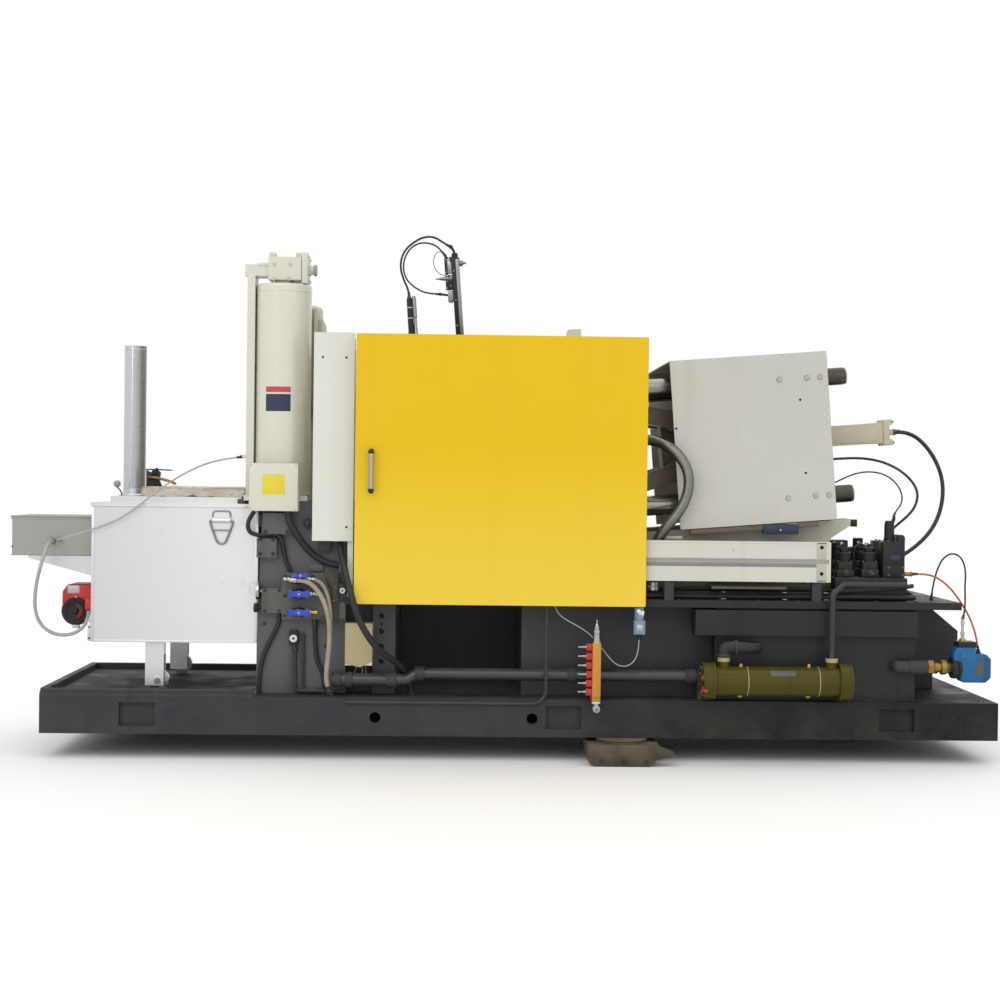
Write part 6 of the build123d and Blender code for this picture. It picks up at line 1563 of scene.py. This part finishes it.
# flow switch, rebuilt: elbow, union, coupling, head, neck, lid and stem

flow = {"y": -545, "z": 442}
flowY, flowZ = flow["y"], flow["z"]
flowParts = [
    (pipe([(1797.6, -500.4, 442), (1797.6, -520, 442), (1797.6, -540, 442), (1806, -545, 442),
        (1826, -545, 442), (1870, -545, 442), (1932, -545, 442)], 27, 28), casting),
    (turned((1846, flowY, flowZ), toRight, [(0, 20), (0, 29.5), (2, 31), (80, 31), (82, 29.5), (82, 20)], 32),
        casting),
    (solid((1930, flowY, flowZ), toRight, [(0, 30), (3, 33), (26, 33), (29, 30)], 6), agedBrass),
    (solid((1956, flowY, flowZ), toRight, [(0, 24), (8, 24), (8, 27), (12, 27), (12, 22), (40, 22)], 28),
        agedBrass),
    (solid((1990, flowY, flowZ), toRight, [(0, 29), (3, 33), (24, 33), (27, 29), (50, 24)], 8), agedBrass),
    (solid((2039, flowY, flowZ), toRight, [(0, 47), (4, 50), (20, 50), (22, 46), (26, 46), (28, 50),
        (36, 50)], 40), black),
    (prism([(2074.5, 390), (2086, 378), (2186, 378), (2210.5, 400), (2210.5, 484), (2190, 506), (2086, 506),
        (2074.5, 494)], -588, -500, 5), flowBlue),
    (prism([(2080, 396), (2092, 384), (2182, 384), (2204, 404), (2204, 480), (2184, 500), (2092, 500),
        (2080, 490)], -593.5, -586, 2.5), flowBlue),
    (block((2136, -595.2, 418), (2172, -593.4, 470), 0.5), agedGrey),
    (prism([(2040, 478), (2076, 470), (2142.5, 470), (2142.5, 538), (2064, 538), (2050.5, 530), (2042, 508)],
        -585, -505, 4), flowBlue),
    (block((2062, -588, 537), (2144, -502, 562), 3), black),
    (solid((2090.5, flowY, 561), toTop, [(0, 15), (11, 15), (13, 12)], 6), brass),
    (solid((2090.5, flowY, 573), toTop, [(0, 8), (20, 8), (20, 10), (30, 10), (30, 6.5), (62, 6.5), (64, 9),
        (86, 8), (91, 6.5)], 20), agedPale),
    (solid((2165, -540, 500), toTop, [(0, 12), (12, 12), (14, 9), (22, 8)], 6), black),
]
flowPiece = makePiece("flowSwitchBody", flowParts)
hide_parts("flow_switch")
screws("flowSwitchScrews", [(x, -593.6, z) for x in (2094, 2188) for z in (396, 488)], (5.5, 3), (2.8, 2),
    flowBlue)

# valve bank, rebuilt: manifold block, valves with coils, plugs and hose sockets

bank = {"left": 1522.5, "right": 1856.5, "top": 840, "columns": (1804, 1689, 1574), "rows": (-410, -250)}
bankParts = [(block((bank["left"], -470, 735.3), (bank["right"], -50, bank["top"]), 4), black)]
for row in bank["rows"]:
    for index, x in enumerate(bank["columns"]):
        if index == 0:
            bankParts += [
                (prism([(x - 58, 838), (x + 42.5, 838), (x + 42.5, 1028), (x + 34, 1038), (x + 12, 1038),
                    (x + 10, 1005), (x - 58, 1005)], row - 45, row + 45, 3), black),
                (block((x - 53, row - 47.5, 846), (x + 38, row - 44, 896), 1.5), black),
                (block((x - 53, row - 47.5, 902), (x + 34, row - 44, 978), 1.5), black),
                (block((x - 22, row - 48.2, 922), (x + 18, row - 47, 944), 0.3), plateNavy),
            ]
        else:
            bankParts += [
                (block((x - 40, row - 42, 838), (x + 40, row + 42, 884 - 6 * index), 4), black),
                (block((x - 34, row - 38, 880 - 6 * index), (x + 34, row + 38, 912), 6), black),
                (solid((x, row, 905), toTop, [(0, 33), (3, 35), (48, 35), (51, 32), (51, 22), (60, 22),
                    (60, 27), (72, 27), (74, 24), (74, 13), (88, 12), (90, 9)], 32), black),
                (solid((x, row - 40, 862), toFront, [(0, 18), (8, 18), (10, 15), (10, 9), (16, 9), (17, 7)],
                    6), darkSteel),
                (solid((x - 10, row, 990), toTop, [(0, 9), (9, 9), (11, 7)], 6),
                    plated if row < -300 else brass),
            ]
bankParts += [
    (block((1528, -225, 838), (1752, -130, 972), 5), black),
    (block((1560, -215, 960), (1640, -140, 1004), 6), black),
    (rod((1694, -178, 970), toTop, 44, 24, 3), black),
]
for x in (1556, 1622, 1688, 1754, 1820):
    bankParts.append((solid((x, -469.5, 792), toFront, [(-1, 15), (0.2, 15), (0.2, 11), (0.4, 11)], 24),
        darkSteel))
bankParts += [
    (solid((1784, -410, 1002), toTop, [(0, 25), (8, 25), (10, 23), (76, 23), (82, 21.5), (94, 21), (100, 16)],
        32), black),
    (turned((1797, -410, 1088), (0.32, 0, 1), [(0, 0), (0, 9), (14, 8.5), (32, 7), (34, 0)], 16), black),
    (block((1772, -392, 1030), (1800, -382, 1078), 2), black),
    (solid((1845, -250, 922), toRight, [(0, 18), (12, 18), (14, 14), (14, 13.5), (40, 13.5), (41, 12)], 6),
        darkSteel),
    (solid((1810, -256, 1000), toTop, [(0, 14), (12, 14), (13, 10.5), (24, 10.5)], 6), darkSteel),
    (solid((1806, -254, 1018), (0.68, -0.32, 0.73), [(0, 10.5), (22, 10.5), (24, 9)], 18), darkSteel),
    (solid((1845, -430, 858), toRight, [(0, 14), (8, 14), (9, 10), (9, 10), (34, 10), (35, 12.5), (41, 12.5),
        (42, 9)], 6), agedBrass),
    (solid((1700, -330, 880), toTop, [(0, 12), (60, 12), (62, 16), (80, 16), (82, 12)], 20), agedBrass),
    (pipe([(1640, -330, 838), (1640, -330, 900), (1640, -330, 960), (1652, -330, 985), (1672, -332, 992),
        (1700, -330, 975), (1700, -330, 955)], 6, 12), darkSteel),
    (pipe([(1500, -488, 752), (1640, -486, 754), (1780, -482, 752), (1880, -472, 750), (1896, -440, 752),
        (1870, -410, 768)], 13, 16), rubber),
    (pipe([(1500, -496, 778), (1620, -494, 784), (1740, -490, 790), (1850, -482, 800), (1880, -470, 806)], 10,
        14), rubber),
    (pipe([(1560, -340, 838), (1560, -340, 900), (1564, -340, 950), (1580, -340, 972), (1600, -336, 960),
        (1606, -330, 900), (1606, -330, 838)], 8, 12), rubber),
]
bankPiece = makePiece("valveBankBlocks", bankParts)
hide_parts("valve_bank")
bankSpots = [(x + dx, row + dy, 1005.2 if x == 1804 else 911.5, toTop) for row in bank["rows"]
    for x in bank["columns"] for dx in (-33, 16 if x == 1804 else 28) for dy in (-32, 32)]
bankSpots += [(1804 + dx, -457.6, z) for dx in (-32, 32) for z in (854, 888)]
bankSpots += [(x, -470.3, 758) for x in (1540, 1650, 1730, 1840)]
screws("valveBankScrews", bankSpots, (6, 5), (3, 3.4), bareSteel)

# spray unit, rebuilt: foot, arm, post, nozzle blocks, gun and tube

spray = {"foot": (40, 120), "arm": (530, 580), "post": (492, 530), "top": 957, "gun": 282, "tube": 304}
sprayShapes = [
    (block((spray["foot"][0], -110, 350.3), (spray["foot"][1], 10, 532), 4), black),
    (block((spray["foot"][0], -130, spray["arm"][0]), (spray["post"][1], -70, spray["arm"][1]), 3), black),
    (block((spray["post"][0], -119, 578), (spray["post"][1], -81, spray["top"]), 2), black),
    (block((513, -121.5, 582), (529, -118.6, 955), 0.8), dullSilver),
    (block((489, -118, 955), (533, -82, 962), 1.5), darkSteel),
    (block((496, -116, 961), (526, -84, 985), 5), black),
    (block((460, -115, 812), (494, -85, 861), 3), black),
    (block((460, -115, 885), (474, -85, 965), 3), black),
    (block((472, -116, 889), (493, -84, 960), 3), dullSilver),
    (block((477, -118, 905), (489, -115, 945), 1), plated),
    (turned((492, -100, 868), toLeft, [(0, 0), (0, 14.2), (22, 14.2), (26, 12), (46, 9), (66, 4), (78, 3),
        (79, 0)], 24), dullSilver),
    (solid((484, -100, 868), toLeft, [(0, 16), (10, 16)], 6), agedBrass),
    (turned((528, -100, 936), toRight, [(0, 0), (0, 12), (4, 12), (5, 15), (14, 15), (18, 11), (26, 6),
        (36, 3), (37, 0)], 24), dullSilver),
    (block((466, -113, 756), (493, -96, 808), 3), dullSilver),
    (solid((480, -112, 750), toTop, [(0, 9), (10, 11), (14, 7)], 18), dullSilver),
    (turned((spray["gun"], -100, 578), toTop, [(0, 0), (0, 20), (34, 20), (40, 16), (48, 14), (204, 13),
        (208, 11), (210, 0)], 24), black),
    (ringOf((spray["gun"], -100, 688), toTop, 11, 14.6, 4.5), whiteNylon),
    (ringOf((spray["gun"], -100, 738), toTop, 11, 14.4, 4.5), whiteNylon),
    (solid((spray["tube"], -100, 578), toTop, [(0, 14), (26, 14), (34, 9), (112, 7.5), (114, 10.5),
        (204, 10.5), (212, 9), (217, 7)], 20), dullSilver),
    (block((268, -117, 600), (318, -83, 612), 2), darkSteel),
]
sprayParts = [(inClamp(shape), finish) for shape, finish in sprayShapes]
wireSpots = ((470, 974), (453, 998), (424, 990), (410, 960), (408, 932), (420, 902), (444, 884), (466, 878))
sprayParts.append((pipe([clampPoint(a, b, 118) for a, b in wireSpots], 1.7, 8), black))
# hose tails from the hoses' ends to the post's cap and its lower block
for points, radius in ((((492, 1024), (499, 1013), (505, 1002), (510, 990), (511, 978)), 6.2),
        (((460, 984), (467, 973), (476, 962), (486, 954), (496, 950)), 5.2),
        (((424, 795), (434, 794), (450, 791), (468, 788)), 5.2)):
    sprayParts.append((pipe([clampPoint(a, b, 104) for a, b in points], radius), black))
sprayParts.append((inClamp(block((484, -116, 940), (500, -86, 968), 3)), black))
sprayPiece = makePiece("sprayBody", sprayParts)
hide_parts("spray_unit")
screws("sprayScrews", [clampPoint(502, b, 119) for b in (640, 760, 900)], (4.5, 3), (2.2, 2), dullSilver)
blockSpots = [(466, 820), (466, 853), (466, 895), (466, 955), (484, 830)]
screws("blockScrews", [clampPoint(a, b, 115) for a, b in blockSpots], (4, 3), (2, 2), dullSilver)
print("stage: right end and spray unit dressed")

# hose ends: nuts and crimped sleeves where each hose meets the machine

hoseEnds = {
    "power_hose": ("steel", "steel"), "return_hose": ("steel", "steel"), "pilot_hose": ("steel", "steel"),
    "water_hose": (None, "steel"), "guard_hose": ("black", None), "burner_conduit": ("nylon", "nylon"),
    "furnace_cable": ("nylon", "black"), "spray_hose": ("steel", "steel"), "spray_return": ("steel", "steel"),
    "valve_cable": ("black", "steel"), "flow_cable": ("steel", "black"), "switch_cable": (None, None)}
endFinish = {"steel": darkSteel, "black": black, "nylon": boxGrey}
endParts = []
for cordName, kinds in hoseEnds.items():
    points = [Vector(p) for p in routes[cordName]["points"]]
    radius = routes[cordName]["diameter"] / 2
    for kind, first, second in ((kinds[0], points[0], points[1]), (kinds[1], points[-1], points[-2])):
        if not kind:
            continue
        way = (second - first).normalized()
        reach = min((second - first).length * 0.72, 2.6 * radius + 14)
        nut = radius * 1.45 + 2
        endParts.append((solid(first, way, [(-3, nut - 1), (-2, nut), (reach * 0.3, nut),
            (reach * 0.36, nut - 1)], 6), endFinish[kind]))
        sleeveProfile = [(reach * 0.3, 0), (reach * 0.3, radius + 1.6)]
        for step in range(4):
            at = reach * (0.38 + 0.15 * step)
            sleeveProfile += [(at, radius + 1.8), (at + reach * 0.05, radius + 1.0),
                (at + reach * 0.08, radius + 1.8)]
        sleeveProfile += [(reach, radius + 1.2), (reach, radius - 0.2), (reach - 1, 0)]
        endParts.append((turned(first, way, sleeveProfile, 18), endFinish[kind]))
cuff = [Vector(p) for p in ribbedRoute["points"]]
for first, second in ((cuff[0], cuff[1]), (cuff[-1], cuff[-2])):
    way = (second - first).normalized()
    endParts.append((turned(first, way, [(-2, 0), (-2, 31), (14, 31), (18, 28), (34, 28), (34, 24), (33, 0)],
        32), galvanised))
makePiece("hoseEnds", endParts)

# skates, rebuilt: bodies with cut corners, turntables, the draw nose and bolts in front

skate = {"half": 160, "back": 365, "front": 677.6, "middle": 525, "boltHigh": 23}
skateFeet = [corner.co * 1000 for corner in nodes["machine_skates"].data.vertices if corner.co.z < 0.001]
frontRun = [foot.x for foot in skateFeet if foot.y < -680]
backRun = [foot.x for foot in skateFeet if foot.y > 680]
skatePlaces = [((min(frontRun) + max(frontRun)) / 2, -1), (min(backRun) + skate["half"], 1),
    (max(backRun) - skate["half"], 1)]
skateParts, skateBolts = [], []
for x, side in skatePlaces:
    left, right = x - skate["half"], x + skate["half"]
    body = [(left, 92), (left, 36), (left + 5, 18), (left + 20, 5), (left + 38, 0), (right - 46, 0),
        (right - 6, 38), (right, 50), (right, 92)]
    near, far = sorted((side * skate["front"], side * skate["back"]))
    skateParts += [
        (prism(body, near, far, 3), skatePaint),
        (solid((x, side * skate["middle"], 91), toTop,
            [(0, 112), (2, 115), (7, 115), (8, 110), (11, 110), (12, 115), (17, 115), (19, 112)], 56),
            skatePaint),
    ]
    skateBolts += [(x + run, side * (skate["front"] - 0.3), skate["boltHigh"], (0, side, 0))
        for run in (-100, 0, 100)]
noseRoot = skatePlaces[0][0] + skate["half"]
nose = [(noseRoot - 14, 88), (noseRoot + 4, 88), (noseRoot + 38, 72), (noseRoot + 62, 68),
    (noseRoot + 71, 58), (noseRoot + 60, 46), (noseRoot + 20, 38), (noseRoot - 8, 32)]
skateParts.append((prism(nose, -skate["front"] + 1.5, -624, 3), skatePaint))
skatePiece = makePiece("skateBodies", skateParts)
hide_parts("machine_skates")
screws("skateBolts", skateBolts, (9, 6.4), (3, 2), darkSteel, sides=6)
print("stage: small parts placed")
